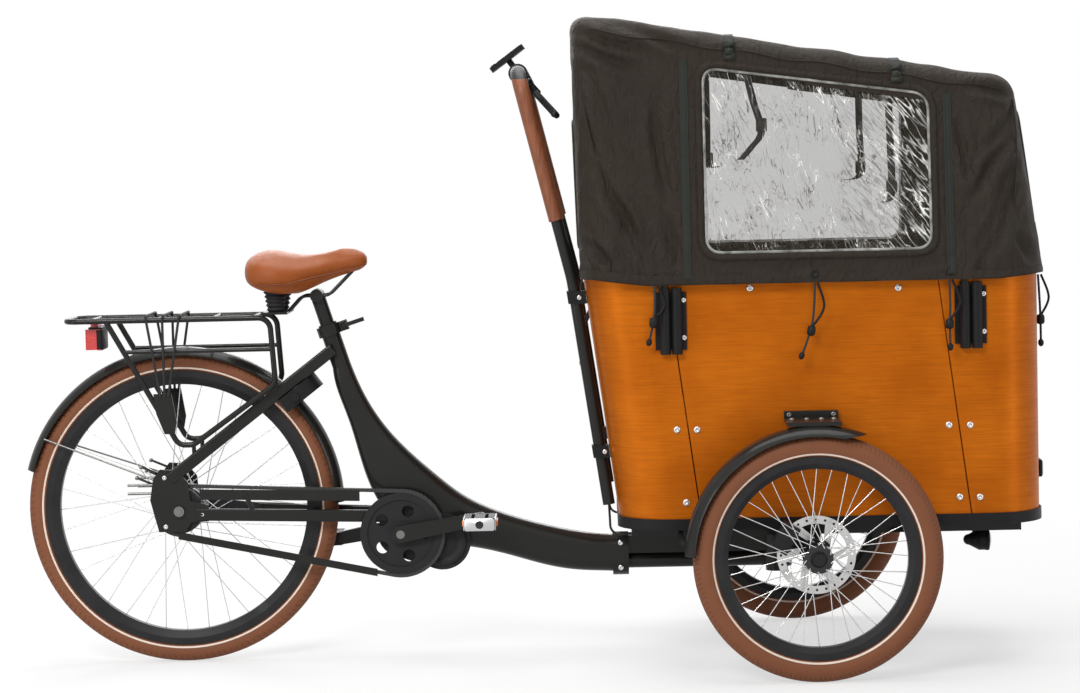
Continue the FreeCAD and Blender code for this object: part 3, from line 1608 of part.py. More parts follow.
def calipers():
    """Brake calipers that straddle the discs, on lugs from the axle tube."""
    disc_y = Read.track / 2 - Read.front_hub_in - Read.disc_width / 2
    angle = math.radians(Read.caliper_angle)
    outward = Vector(math.cos(angle), 0, math.sin(angle))
    around = Vector(-math.sin(angle), 0, math.cos(angle))
    middle = from_front(0, -disc_y, Read.front_tyre_r) + outward * (Read.disc_r - Read.disc_ring / 2)
    half = Read.caliper_half
    corners = [
        middle + outward * (sign_a * Read.caliper_depth / 2) + around * (sign_b * half)
        for sign_a, sign_b in ((1, 1), (-1, 1), (-1, -1), (1, -1))
    ]
    down = ALONG_Y * (-Read.caliper_width / 2)
    body = polygon_prism([corner + down for corner in corners], ALONG_Y * Read.caliper_width)
    slot_half = Read.disc_width / 2 + Read.caliper_gap
    slot_r = Read.disc_r + Read.caliper_gap
    hub = from_front(0, -disc_y - slot_half, Read.front_tyre_r)
    slot = Part.makeCylinder(slot_r, 2 * slot_half, hub, ALONG_Y)
    lug_y = -disc_y + Read.caliper_width / 2
    lug_start = from_front(0, lug_y, Read.front_tyre_r) + outward * (Read.axle_tube_r + Read.fit_gap)
    reach = Read.disc_r - Read.axle_tube_r
    lug_corners = [
        lug_start + around * (sign * half / 2) + outward * out
        for sign, out in ((1, 0), (-1, 0), (-1, reach), (1, reach))
    ]
    lug = polygon_prism(lug_corners, ALONG_Y * -Read.caliper_lug)
    solid("brake_calipers", both_sides(body.fuse(lug).cut(slot)))


def box_back(z):
    """How far the leaning back of the box lies behind the front axle at a height."""
    share = (z - Read.box_floor_z) / (Read.box_top_z - Read.box_floor_z)
    return Read.box_back_low + share * (Read.box_back_high - Read.box_back_low)


def box_outline(z, inset):
    back = box_back(z)
    centre = from_front((Read.box_front - back) / 2, 0, z)
    half_long = (Read.box_front + back) / 2 - inset
    return rounded_wire(centre, FORWARD, ALONG_Y, half_long, Read.box_half - inset, Read.box_corner_r - inset)


def box_loft(inset, low, high):
    return Part.makeLoft([box_outline(low, inset), box_outline(high, inset)], True, True)


def seam_prism(low_from, low_to, high_from, high_to):
    """Everything between two leaning seam lines, right across the box."""
    side = -Read.box_half - Read.cut_overrun
    low, high = Read.box_floor_z - Read.cut_overrun, Read.box_top_z + Read.cut_overrun
    points = [
        from_front(low_from, side, low), from_front(low_to, side, low),
        from_front(high_to, side, high), from_front(high_from, side, high),
    ]
    return polygon_prism(points, ALONG_Y * (-2 * side))


def box_panels():
    low, high = Read.box_floor_z, Read.box_top_z
    shell = box_loft(0, low, high).cut(
        box_loft(Read.box_wall, low - Read.cut_overrun, high + Read.cut_overrun)
    )
    gap = Read.seam_gap / 2
    edge_low, edge_high = low - Read.cut_overrun, high + Read.cut_overrun
    rear_low, rear_high = Read.rear_seam - box_back(edge_low), Read.rear_seam - box_back(edge_high)
    shift = rear_high - rear_low
    front_low = Read.box_front - Read.front_seam
    front_high = front_low + shift
    far = 2 * Read.box_front
    sides = shell.common(seam_prism(rear_low + gap, front_low - gap, rear_high + gap, front_high - gap))
    solid("box_side_panels", Part.makeCompound(sides.Solids))
    slits = [
        Part.makeBox(
            2 * far, Read.seam_gap, high - low + 2 * Read.cut_overrun,
            from_front(-far, side * Read.end_seam_y - gap, low - Read.cut_overrun),
        )
        for side in SIDES
    ]
    rear = shell.common(seam_prism(-far, rear_low - gap, -far, rear_high - gap)).cut(slits)
    front = shell.common(seam_prism(front_low + gap, far, front_high + gap, far)).cut(slits)
    solid("box_end_panels", Part.makeCompound(rear.Solids + front.Solids))


def box_floor():
    """The floor board, and the trim round it that laps the foot of the panels."""
    lip_z = Read.box_floor_z + Read.floor_lip
    lip_grow = box_back(lip_z) - box_back(Read.box_floor_z) + Read.fit_gap

    def slab(grow, low, high):
        face = Part.Face(box_outline(Read.box_floor_z, -grow))
        face.translate(UP * (low - Read.box_floor_z))
        return face.extrude(UP * (high - low))

    board = slab(lip_grow, Read.chassis_top_z, Read.box_floor_z)
    trim = slab(lip_grow + Read.floor_trim, Read.chassis_top_z, lip_z)
    trim = trim.cut(slab(lip_grow, Read.chassis_top_z, lip_z))
    solid("box_floor", Part.makeCompound([board] + trim.Solids))


def bench():
    half = Read.box_half - Read.box_wall - Read.fit_gap
    low = Read.bench_z - Read.bench_board
    back = box_back(low) - Read.box_wall - Read.fit_gap
    seat = Part.makeBox(back - Read.bench_front, 2 * half, Read.bench_board, from_front(-back, -half, low))
    front = Part.makeBox(
        Read.bench_board, 2 * half, low - Read.box_floor_z,
        from_front(-Read.bench_front - Read.bench_board, -half, Read.box_floor_z),
    )
    hollow = box_loft(Read.box_wall + Read.fit_gap, Read.box_floor_z, Read.box_top_z)
    solid("bench", seat.fuse(front).common(hollow))


def battery():
    case = block(
        "battery", "battery_length", "2 * battery_half", "battery_height",
        FRONT_X + " - battery_back", "-battery_half", "box_floor_z",
    )
    node("battery", case)


boss_low, boss_high = steering_beam()
chassis(boss_low, boss_high)
calipers()
box_panels()
box_floor()
bench()
battery()


# Handlebar and its fittings

def bar_run(side):
    """Corner points of one upright, from its foot to the top corner."""
    y = side * Read.bar_half
    return [
        from_front(-Read.bar_foot_x, y, Read.bar_foot_z),
        from_front(-Read.bar_knee_x, y, Read.bar_knee_z),
        from_front(-Read.bar_top_x, y, Read.bar_top_z),
    ]


def bar_x_at(z):
    """How far the upright lies behind the front axle at a height."""
    if z < Read.bar_knee_z:
        low_x, low_z, high_x, high_z = Read.bar_foot_x, Read.bar_foot_z, Read.bar_knee_x, Read.bar_knee_z
    else:
        low_x, low_z, high_x, high_z = Read.bar_knee_x, Read.bar_knee_z, Read.bar_top_x, Read.bar_top_z
    return low_x + (z - low_z) / (high_z - low_z) * (high_x - low_x)


def handlebar():
    run = bar_run(-1) + bar_run(1)[::-1]
    knee, corner = Read.bar_knee_bend, Read.bar_corner_bend
    solid("handlebar", bent_tube(run, Read.bar_r, (knee, corner, corner, knee)))


def top_bar(y):
    """A point on the middle line of the top bar."""
    return from_front(-Read.bar_top_x, y, Read.bar_top_z)


def wraps():
    sleeves = []
    for side in SIDES:
        run = [
            from_front(-bar_x_at(Read.wrap_low_z), side * Read.bar_half, Read.wrap_low_z),
            from_front(-Read.bar_top_x, side * Read.bar_half, Read.bar_top_z),
            top_bar(0),
        ]
        skin = bent_tube(run, Read.bar_r + Read.wrap_wall, Read.bar_corner_bend)
        core = bent_tube(run, Read.bar_r + Read.running_gap, Read.bar_corner_bend)
        bare = rod_between(top_bar(0), -Read.wrap_inner_y, Read.wrap_inner_y, 2 * Read.bar_r)
        sleeves.append(skin.cut(core).cut(bare))
    solid("handlebar_wraps", Part.makeCompound(sleeves))


# The way the brake levers reach out from the top bar, and the way across their hinges
LEVER_REACH_SHARES = (0.65, -0.76)
lever_out = Vector(LEVER_REACH_SHARES[0], 0, LEVER_REACH_SHARES[1]).normalize()
lever_hinge = Vector(-lever_out.z, 0, lever_out.x)


def bar_clamps():
    """Clamps that hold the uprights to the back of the box, and the lever perches."""
    pieces = []
    for z in (Read.clamp_low_z, Read.clamp_high_z):
        low, high = z - Read.clamp_height / 2, z + Read.clamp_height / 2
        side = -Read.bar_half - Read.clamp_half
        outline = [
            from_front(-bar_x_at(low) - Read.clamp_half, side, low),
            from_front(-bar_x_at(high) - Read.clamp_half, side, high),
            from_front(-box_back(high) - Read.fit_gap, side, high),
            from_front(-box_back(low) - Read.fit_gap, side, low),
        ]
        clamp = polygon_prism(outline, ALONG_Y * (2 * Read.clamp_half))
        foot, knee, top = bar_run(-1)
        pieces.append(clamp.cut(straight_tube(foot, knee, Read.bar_r + Read.running_gap)))
    pieces.append(perch())
    solid("handlebar_clamps", Part.makeCompound(sum((both_sides(piece).Solids for piece in pieces), [])))


def perch():
    low = -Read.perch_start - Read.perch_width
    tip = top_bar(0) + lever_out * Read.perch_reach
    body = capsule(top_bar(0), Read.perch_r, tip, Read.perch_r / 2, low, -Read.perch_start)
    return body.cut(rod_between(top_bar(0), low, -Read.perch_start, Read.bar_r + Read.running_gap))


def brake_lever(label, side):
    """A straight lever with a round end, hinged beside its perch."""
    root_y = Read.perch_start + Read.perch_width + Read.fit_gap + Read.blade_root_r
    root = top_bar(side * root_y) + lever_out * lever_root_reach()
    tip = top_bar(side * Read.blade_end_y) + lever_out * Read.blade_reach
    low = lever_hinge * (-Read.blade_depth / 2)
    barrel = Part.makeCylinder(Read.blade_root_r, Read.blade_depth, root + low, lever_hinge)
    along = (tip - root).normalize()
    across = along.cross(lever_hinge)
    corners = [
        root + across * Read.blade_half, tip + across * Read.blade_half,
        tip - across * Read.blade_half, root - across * Read.blade_half,
    ]
    blade = polygon_prism([corner + low for corner in corners], lever_hinge * Read.blade_depth)
    ball = Part.makeSphere(Read.blade_root_r, tip)
    solid(label, barrel.fuse([blade, ball]))


def lever_root_reach():
    return Read.shifter_r + Read.blade_root_r + 2 * Read.fit_gap


def shifter():
    end = Read.shifter_start + Read.shifter_length
    body = rod_between(top_bar(0), -end, -Read.shifter_start, Read.shifter_r)
    bore = rod_between(top_bar(0), -end, -Read.shifter_start, Read.bar_r + Read.running_gap)
    solid("gear_shifter", body.cut(bore))


def display():
    """A tilted screen on a stem that is banded to the middle of the top bar."""
    tilt = math.radians(Read.display_tilt)
    along = Vector(math.cos(tilt), 0, math.sin(tilt))
    normal = Vector(-math.sin(tilt), 0, math.cos(tilt))
    back = top_bar(0) + normal * Read.display_stem
    face = Part.Face(rounded_wire(
        back, along, ALONG_Y, Read.display_length / 2, Read.display_half, Read.display_depth,
    ))
    screen = face.extrude(normal * Read.display_depth)
    half = Read.display_stem_half
    foot = Part.Face(rounded_wire(top_bar(0), along, ALONG_Y, half / 2, half, half / 4))
    stem = foot.extrude(normal * Read.display_stem)
    band = rod_between(top_bar(0), -half, half, Read.display_band_r)
    bore = rod_between(top_bar(0), -2 * half, 2 * half, Read.bar_r + Read.running_gap)
    solid("display", screen.fuse([stem, band]).cut(bore))


def cables():
    """Brake and shift cables from the perches down the inside of the uprights."""
    y = -(Read.bar_half - Read.bar_r - Read.wrap_wall - Read.cable_r - Read.fit_gap)
    perch_y = -(Read.perch_start + Read.perch_width + Read.fit_gap)
    start_z = Read.bar_top_z - Read.cable_start_drop
    foot_x = -Read.bar_foot_x
    run = [
        from_front(Read.cable_start_dx - Read.bar_top_x, perch_y, start_z),
        from_front(Read.cable_corner_dx - Read.bar_top_x, y, start_z),
        from_front(-bar_x_at(Read.cable_top_z), y, Read.cable_top_z),
        from_front(-Read.bar_knee_x, y, Read.bar_knee_z),
        from_front(foot_x, y, Read.bar_foot_z),
        from_front(foot_x + Read.cable_r, y, Read.cable_foot_z),
        from_front(-Read.chassis_back - Read.fit_gap, y, Read.cable_foot_z + Read.cable_r),
    ]
    solid("control_cables", both_sides(bent_tube(run, Read.cable_r, Read.bar_corner_bend)))


handlebar()
wraps()
bar_clamps()
brake_lever("brake_lever_right", -1)
brake_lever("brake_lever_left", 1)
shifter()
display()
cables()


# Front mudguards, headlamp and pole sockets

def beak_cut(hub, inner_r):
    """The wedge that takes the sides off a front mudguard toward its pointed tip."""
    section_r = Read.front_mudguard_section_r
    edge_r = inner_r - section_r * (1 - math.cos(math.radians(Read.mudguard_section_angle)))
    tip_angle = Read.front_mudguard_tip

    def corner(radius, angle):
        turn = math.radians(angle)
        ahead = FORWARD * (radius * math.cos(turn)) + UP * (radius * math.sin(turn))
        return hub + ahead - ALONG_Y * section_r

    corners = [
        corner(inner_r + Read.mudguard_wall / 2, tip_angle),
        corner(edge_r - Read.cut_overrun, tip_angle + Read.front_mudguard_beak),
        corner(edge_r - section_r, tip_angle - Read.front_mudguard_beak / 2),
        corner(inner_r, tip_angle - Read.front_mudguard_beak / 2),
    ]
    return polygon_prism(corners, ALONG_Y * (2 * section_r))


def front_guards():
    """Mudguards over the front wheels, each on a bracket from the side of the box."""
    hub = from_front(0, -Read.track / 2, Read.front_tyre_r)
    inner_r = Read.front_tyre_r + Read.front_mudguard_gap
    guard = guard_shape(
        hub, inner_r, Read.front_mudguard_section_r, Read.front_mudguard_back, Read.front_mudguard_tip,
    ).cut(beak_cut(hub, inner_r))
    inner_y = Read.box_half + Read.fit_gap
    outer_y = Read.track / 2 + Read.bracket_inset
    length = Read.bracket_back + Read.bracket_front
    low = Read.front_tyre_r + inner_r + Read.mudguard_wall / 2
    plate = Part.makeBox(
        length, outer_y - inner_y, Read.bracket_plate, from_front(-Read.bracket_back, -outer_y, low),
    )
    foot = Part.makeBox(
        length, Read.bracket_block, Read.bracket_plate + Read.bracket_block,
        from_front(-Read.bracket_back, -inner_y - Read.bracket_block, low),
    )
    solid("front_mudguards", both_sides(guard.fuse([plate, foot])))


# The lamp's round tail against its rim's radius, and its straight rim against its length
HEADLAMP_TAIL_SHARE = 0.5
HEADLAMP_RIM_SHARE = 0.36


def headlamp():
    """A bullet lamp below the floor, on a stem."""
    centre = from_front(Read.headlamp_dx, 0, Read.headlamp_z)
    tail_r = Read.headlamp_r * HEADLAMP_TAIL_SHARE
    rim_length = Read.headlamp_length * HEADLAMP_RIM_SHARE
    cone_length = Read.headlamp_length - tail_r - rim_length
    back = centre - FORWARD * (Read.headlamp_length / 2 - tail_r)
    cone = Part.makeCone(tail_r, Read.headlamp_r, cone_length, back, FORWARD)
    rim = Part.makeCylinder(Read.headlamp_r, rim_length, back + FORWARD * cone_length, FORWARD)
    top = Vector(centre.x, 0, Read.chassis_top_z)
    stem = straight_tube(centre, top, Read.headlamp_stem_r)
    solid("headlamp", cone.fuse([rim, Part.makeSphere(tail_r, back), stem]))


def pole_place(plate_x):
    """Where a pole stands: in the rear one of the two tubes on its plate."""
    return plate_x - Read.socket_pitch / 2


def sockets():
    """Plates on the box's sides, each with two upright tubes for the tent's poles."""
    inner_y = Read.box_half + Read.fit_gap
    pieces = []
    for plate_x in (-Read.socket_rear_x, Read.socket_front_x):
        low = Read.socket_low_z + (Read.socket_top_z - Read.socket_low_z - Read.socket_plate_height) / 2
        plate = Part.makeBox(
            2 * Read.socket_plate_half, Read.socket_plate, Read.socket_plate_height,
            from_front(plate_x - Read.socket_plate_half, -inner_y - Read.socket_plate, low),
        )
        for tube_x in (pole_place(plate_x), pole_place(plate_x) + Read.socket_pitch):
            foot = from_front(tube_x, -Read.socket_y, Read.socket_low_z)
            head = from_front(tube_x, -Read.socket_y, Read.socket_top_z)
            bore_r = Read.pole_r + Read.fit_gap
            plate = plate.fuse(straight_tube(foot, head, bore_r + Read.socket_wall))
            plate = plate.cut(straight_tube(foot, head, bore_r))
        pieces += both_sides(plate).Solids
    solid("pole_sockets", Part.makeCompound(pieces))


front_guards()
headlamp()
sockets()


# Rain tent

def roof_at(x):
    """Height of the roof's middle line at a place along it, from the front axle."""
    share = (x + Read.tent_roof_back) / (Read.tent_roof_front + Read.tent_roof_back)
    return Read.tent_roof_back_z + share * (Read.tent_roof_front_z - Read.tent_roof_back_z)


def tent_form(inset):
    """The tent's closed form: upright sides that draw in to a sloping, rounded roof."""
    hem_long = (Read.tent_hem_front + Read.tent_hem_back) / 2
    hem_centre = from_front(Read.tent_hem_front - hem_long, 0, Read.tent_hem_z)
    hem = rounded_wire(
        hem_centre, FORWARD, ALONG_Y,
        hem_long - inset, Read.tent_hem_half - inset, Read.tent_hem_corner - inset,
    )
    back = from_front(-Read.tent_roof_back, 0, Read.tent_roof_back_z)
    front = from_front(Read.tent_roof_front, 0, Read.tent_roof_front_z)
    slope = (front - back).normalize()
    centre = (front + back) * 0.5 - UP * inset
    roof = rounded_wire(
        centre, slope, ALONG_Y, (front - back).Length / 2 - inset,
        Read.tent_roof_half - inset, Read.tent_roof_corner - inset,
    )
    form = Part.makeLoft([hem, roof], True, True)
    top_face = max(form.Faces, key=lambda face: face.CenterOfMass.z)
    return form.makeFillet(Read.tent_roof_round - inset, top_face.Edges)


def window_tools(shrink):
    """Prisms through the side windows and the end windows, with round corners."""
    wide = Read.tent_hem_half + Read.cut_overrun
    back, front = -Read.window_back + shrink, Read.window_front - shrink
    low = Read.window_low_z + shrink
    side_outline = [
        from_front(back, -wide, low), from_front(front, -wide, low),
        from_front(front, -wide, Read.window_front_z - shrink),
        from_front(back, -wide, Read.window_back_z - shrink),
    ]
    side = polygon_prism(side_outline, ALONG_Y * (2 * wide))
    long = 2 * Read.tent_hem_front
    half = Read.end_window_half - shrink
    low, high = Read.end_window_low_z + shrink, Read.end_window_high_z - shrink
    end_corners = ((-half, low), (half, low), (half, high), (-half, high))
    end_outline = [from_front(-long, y, z) for y, z in end_corners]
    end = polygon_prism(end_outline, FORWARD * (2 * long))
    rounded = []
    for tool, along in ((side, ALONG_Y), (end, FORWARD)):
        edges = []
        for edge in tool.Edges:
            if abs(edge.tangentAt(edge.FirstParameter).dot(along)) > STRAIGHT_SHARE:
                edges.append(edge)
        rounded.append(tool.makeFillet(Read.window_corner - shrink, edges))
    return rounded


# How nearly an edge follows a direction to count as running along it
STRAIGHT_SHARE = 0.999


def tent():
    shell = tent_form(0).cut(tent_form(Read.tent_wall))
    cover = shell
    for tool in window_tools(0):
        cover = cover.cut(tool)
    solid("tent_cover", cover)
    panes = [shell.common(tool) for tool in window_tools(Read.fit_gap)]
    solid("tent_windows", Part.makeCompound(sum((pane.Solids for pane in panes), [])))


def tent_poles():
    """Two bent poles that stand in the sockets and hold up the roof."""
    hoops = []
    fall = (Read.tent_roof_back_z - Read.tent_roof_front_z) / (Read.tent_roof_front + Read.tent_roof_back)
    below_roof = Read.tent_wall + (Read.pole_r + Read.fit_gap) * math.hypot(1, fall)
    for plate_x, top_x in (
        (-Read.socket_rear_x, -Read.pole_rear_top_x),
        (Read.socket_front_x, Read.pole_front_top_x),
    ):
        foot_x = pole_place(plate_x)
        top_z = roof_at(top_x) - below_roof
        right = [
            from_front(foot_x, -Read.socket_y, Read.socket_low_z),
            from_front(foot_x, -Read.socket_y, Read.box_top_z),
            from_front(top_x, -Read.pole_top_y, top_z),
        ]
        left = [Vector(point.x, -point.y, point.z) for point in reversed(right)]
        hoops.append(bent_tube(right + left, Read.pole_r, Read.pole_bend))
    solid("tent_poles", Part.makeCompound(hoops))


# Routes of the hanging cords, chosen by hand: forward of the front axle, sideways, up
CORD_ROUTES = {
    "side_rear": ((-316, -336.5, 802.6), (-316, -338.5, 764), (-320, -339, 727), (-329, -340, 692)),
    "side_middle": ((8, -336.5, 802.6), (7, -338.5, 753), (-1, -340, 704), (-20, -341, 658)),
    "side_front": ((280, -336.5, 802.6), (282, -338.5, 757), (279, -340, 712), (280, -341, 670)),
    "front": ((479.5, -190, 802.6), (482, -192, 755), (484, -190, 708), (484, -191, 664)),
    "rear": ((-465.5, -120, 802.6), (-467, -121, 747), (-468, -119, 692), (-468, -120, 638)),
}


def cord_radii(points):
    """The largest arc at each corner that its two runs leave room for."""
    radii = []
    for before, corner, after in zip(points, points[1:], points[2:]):
        back, ahead = before - corner, after - corner
        half_turn = (math.pi - back.getAngle(ahead)) / 2
        radii.append(BEND_SHARE * min(back.Length, ahead.Length) / math.tan(half_turn))
    return radii


def tent_cords():
    """Cords that hang from the hem on both sides."""
    cords = []
    for name, route in CORD_ROUTES.items():
        points = [from_front(*spot) for spot in route]
        radii = cord_radii(points)
        cord = bent_tube(points, Read.cord_r, radii)
        length = bent_wire(points, radii).Length
        expected = math.pi * Read.cord_r ** 2 * length
        print("cord", name, "radii", [round(radius) for radius in radii],
              "length %.1f" % length, "volume share %.4f" % (cord.Volume / expected))
        cords += both_sides(cord).Solids
    solid("tent_cords", Part.makeCompound(cords))


tent()
tent_poles()
tent_cords()


# Check every object, then write the sub-parts

doc.recompute()
for item in doc.Objects:
    if "Invalid" in item.State or "Error" in item.State:
        raise RuntimeError("%s failed: %s" % (item.Label, item.State))
for label, item in nodes.items():
    shape = item.Shape
    if shape.isNull() or not shape.isValid() or not shape.Solids:
        raise RuntimeError("%s has no sound solid" % label)
    if any(piece.Volume <= 0 for piece in shape.Solids):
        raise RuntimeError("%s has an inside-out solid" % label)
for label, item in nodes.items():
    item.Shape.exportStep("parts/%s.step" % label)
print(len(nodes), "sub-parts written")
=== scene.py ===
import math

import bmesh
import bpy
from mathutils import Matrix, Vector, noise
from mathutils.bvhtree import BVHTree


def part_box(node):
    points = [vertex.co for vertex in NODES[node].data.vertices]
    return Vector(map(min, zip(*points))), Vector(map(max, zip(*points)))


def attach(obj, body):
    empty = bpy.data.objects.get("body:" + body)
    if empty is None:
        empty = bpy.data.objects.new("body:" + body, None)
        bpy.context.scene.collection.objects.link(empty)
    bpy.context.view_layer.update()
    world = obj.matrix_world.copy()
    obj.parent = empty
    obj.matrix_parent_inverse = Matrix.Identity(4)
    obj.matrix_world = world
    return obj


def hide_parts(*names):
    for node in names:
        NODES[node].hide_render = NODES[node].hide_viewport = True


# Looks of a cargo tricycle: finishes for its rigid parts, and its soft and small pieces.
# Lengths are metres. X points forward, Y to the rider's left and Z up.

bl_info = {
    "name": "Cargo tricycle looks",
    "version": (1, 0, 0),
    "blender": (4, 5, 0),
    "location": "View3D > Sidebar > Tricycle",
    "description": "Dresses the packed cargo tricycle with materials and soft pieces",
    "category": "Object",
}

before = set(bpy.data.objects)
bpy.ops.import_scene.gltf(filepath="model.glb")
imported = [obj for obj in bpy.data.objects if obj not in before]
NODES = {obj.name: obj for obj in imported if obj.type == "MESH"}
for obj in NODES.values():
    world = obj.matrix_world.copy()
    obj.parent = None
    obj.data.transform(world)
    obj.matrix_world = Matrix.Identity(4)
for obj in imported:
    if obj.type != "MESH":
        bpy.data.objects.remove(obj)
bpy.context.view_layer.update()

SIDES = (-1, 1)
SIDE_NAMES = {-1: "right", 1: "left"}
UP = Vector((0, 0, 1))
ACROSS = Vector((0, 1, 0))
FORWARD = Vector((1, 0, 0))


def middle_of(node):
    low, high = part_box(node)
    return (low + high) / 2


REAR_AXLE = middle_of("rear_tyre")
FRONT_X = middle_of("front_tyre_right").x


def from_front(dx, y, z):
    """A point measured forward of the front axle, and up from the ground."""
    return Vector((FRONT_X + dx, y, z))


def from_rear(dx, y, z):
    """A point measured forward of the rear axle, and up from the ground."""
    return Vector((REAR_AXLE.x + dx, y, z))


# Settings of the panel

def length_setting(name, description, default, largest):
    return bpy.props.FloatProperty(
        name=name, description=description, default=default, min=0.0, max=largest, precision=4,
        unit="LENGTH",
    )


def colour_setting(name, description, default):
    return bpy.props.FloatVectorProperty(
        name=name, description=description, default=default, min=0.0, max=1.0, precision=4,
        subtype="COLOR",
    )


class TricycleLook(bpy.types.PropertyGroup):
    """How soft the dressed tricycle is, and the colours of its main finishes."""

    fold_depth: length_setting("Tent folds", "How far the folds stand off the tent's form", 0.012, 0.02)
    crinkle_depth: length_setting("Tent crinkles", "How far the finer crinkles stand off", 0.0016, 0.006)
    saddle_swell: length_setting("Saddle swell", "The most that the saddle's leather may rise", 0.006, 0.02)
    bolt_radius: length_setting("Box bolts", "Radius of the bolt heads on the box's sides", 0.0075, 0.012)
    saddle_pressure: bpy.props.FloatProperty(
        name="Saddle pressure", description="How hard the saddle's leather is blown up over its foam",
        default=4.0, min=0.0, max=12.0,
    )
    key_power: bpy.props.FloatProperty(
        name="Key lamp", description="Power of the large lamp beside the camera",
        default=185.0, min=0.0, max=600.0, unit="POWER",
    )
    frame_colour: colour_setting("Frame", "Powder coat of the frame and the bar", (0.0078, 0.0076, 0.0066))
    wood_colour: colour_setting("Plywood", "Stain of the box's panels and the bench", (0.425, 0.100, 0.0030))
    leather_colour: colour_setting("Saddle", "Leather of the saddle", (0.285, 0.068, 0.0095))
    tyre_colour: colour_setting("Tyres", "Rubber of the three tyres", (0.168, 0.060, 0.027))
    cloth_colour: colour_setting("Tent", "Darkest tone of the tent's cloth", (0.0115, 0.0077, 0.0042))


def look():
    """The panel's settings in the open scene."""
    return bpy.context.scene.tricycle_look


# Shader building

def plug(tree, slot, value):
    """Link a wire to a socket, or set the socket's own value."""
    if isinstance(value, Wire):
        tree.links.new(value.socket, slot)
    else:
        slot.default_value = value


class Wire:
    """An output socket that can be added, multiplied and compared."""

    def __init__(self, tree, socket):
        self.tree = tree
        self.socket = socket

    def math(self, operation, *others, first=None):
        step = self.tree.nodes.new("ShaderNodeMath")
        step.operation = operation
        values = [self, *others] if first is None else [first, self, *others]
        for slot, value in zip(step.inputs, values):
            plug(self.tree, slot, value)
        return Wire(self.tree, step.outputs[0])

    def __add__(self, other):
        return self.math("ADD", other)

    __radd__ = __add__

    def __mul__(self, other):
        return self.math("MULTIPLY", other)

    __rmul__ = __mul__

    def __sub__(self, other):
        return self.math("SUBTRACT", other)

    def __rsub__(self, other):
        return self.math("SUBTRACT", first=other)

    def __truediv__(self, other):
        return self.math("DIVIDE", other)

    def __rtruediv__(self, other):
        return self.math("DIVIDE", first=other)

    def __gt__(self, other):
        return self.math("GREATER_THAN", other)

    def __lt__(self, other):
        return self.math("LESS_THAN", other)

    def __abs__(self):
        return self.math("ABSOLUTE")

    def sine(self):
        return self.math("SINE")

    def root(self):
        return self.math("SQRT")

    def fraction(self):
        return self.math("FRACT")

    def angle_from(self, other):
        return self.math("ARCTAN2", other)

    def clamped(self):
        return self.math("MINIMUM", 1.0).math("MAXIMUM", 0.0)

    def band(self, low, high):
        """One between two values and zero outside them."""
        return (self > low) * (self < high)

    def rise(self, start, steep):
        """Zero up to a start, then climbing to one."""
        return ((self - start) * steep).clamped()

    def waves(self, pace):
        """A wave between zero and one."""
        return (self * pace).sine() * 0.5 + 0.5


class Tree:
    """The nodes of a material or a world under construction."""

    def __init__(self, owner):
        owner.use_nodes = True
        self.tree = owner.node_tree
        self.tree.nodes.clear()

    def add(self, kind, settings=None, inputs=None):
        """A node of a kind: its settings first, then its sockets' values or links."""
        made = self.tree.nodes.new(kind)
        for field, value in (settings or {}).items():
            if field == "stops":
                self.set_stops(made.color_ramp.elements, value)
            else:
                setattr(made, field, value)
        for label, value in (inputs or {}).items():
            plug(self.tree, made.inputs[label], value)
        return made

    def set_stops(self, elements, stops):
        """Grey levels at places on a ramp."""
        for element, (place, level) in zip(elements, stops):
            element.position = place
            element.color = (level, level, level, 1.0)

    def wire(self, kind, output, settings=None, inputs=None):
        return Wire(self.tree, self.add(kind, settings, inputs).outputs[output])

    def backdrop_rays(self):
        """One for the rays that show the white background: to the camera, in gloss and through glass."""
        path = self.add("ShaderNodeLightPath")
        kinds = ("Is Camera Ray", "Is Glossy Ray", "Is Transmission Ray")
        camera, gloss, through = (Wire(self.tree, path.outputs[kind]) for kind in kinds)
        return (camera + gloss + through).clamped()


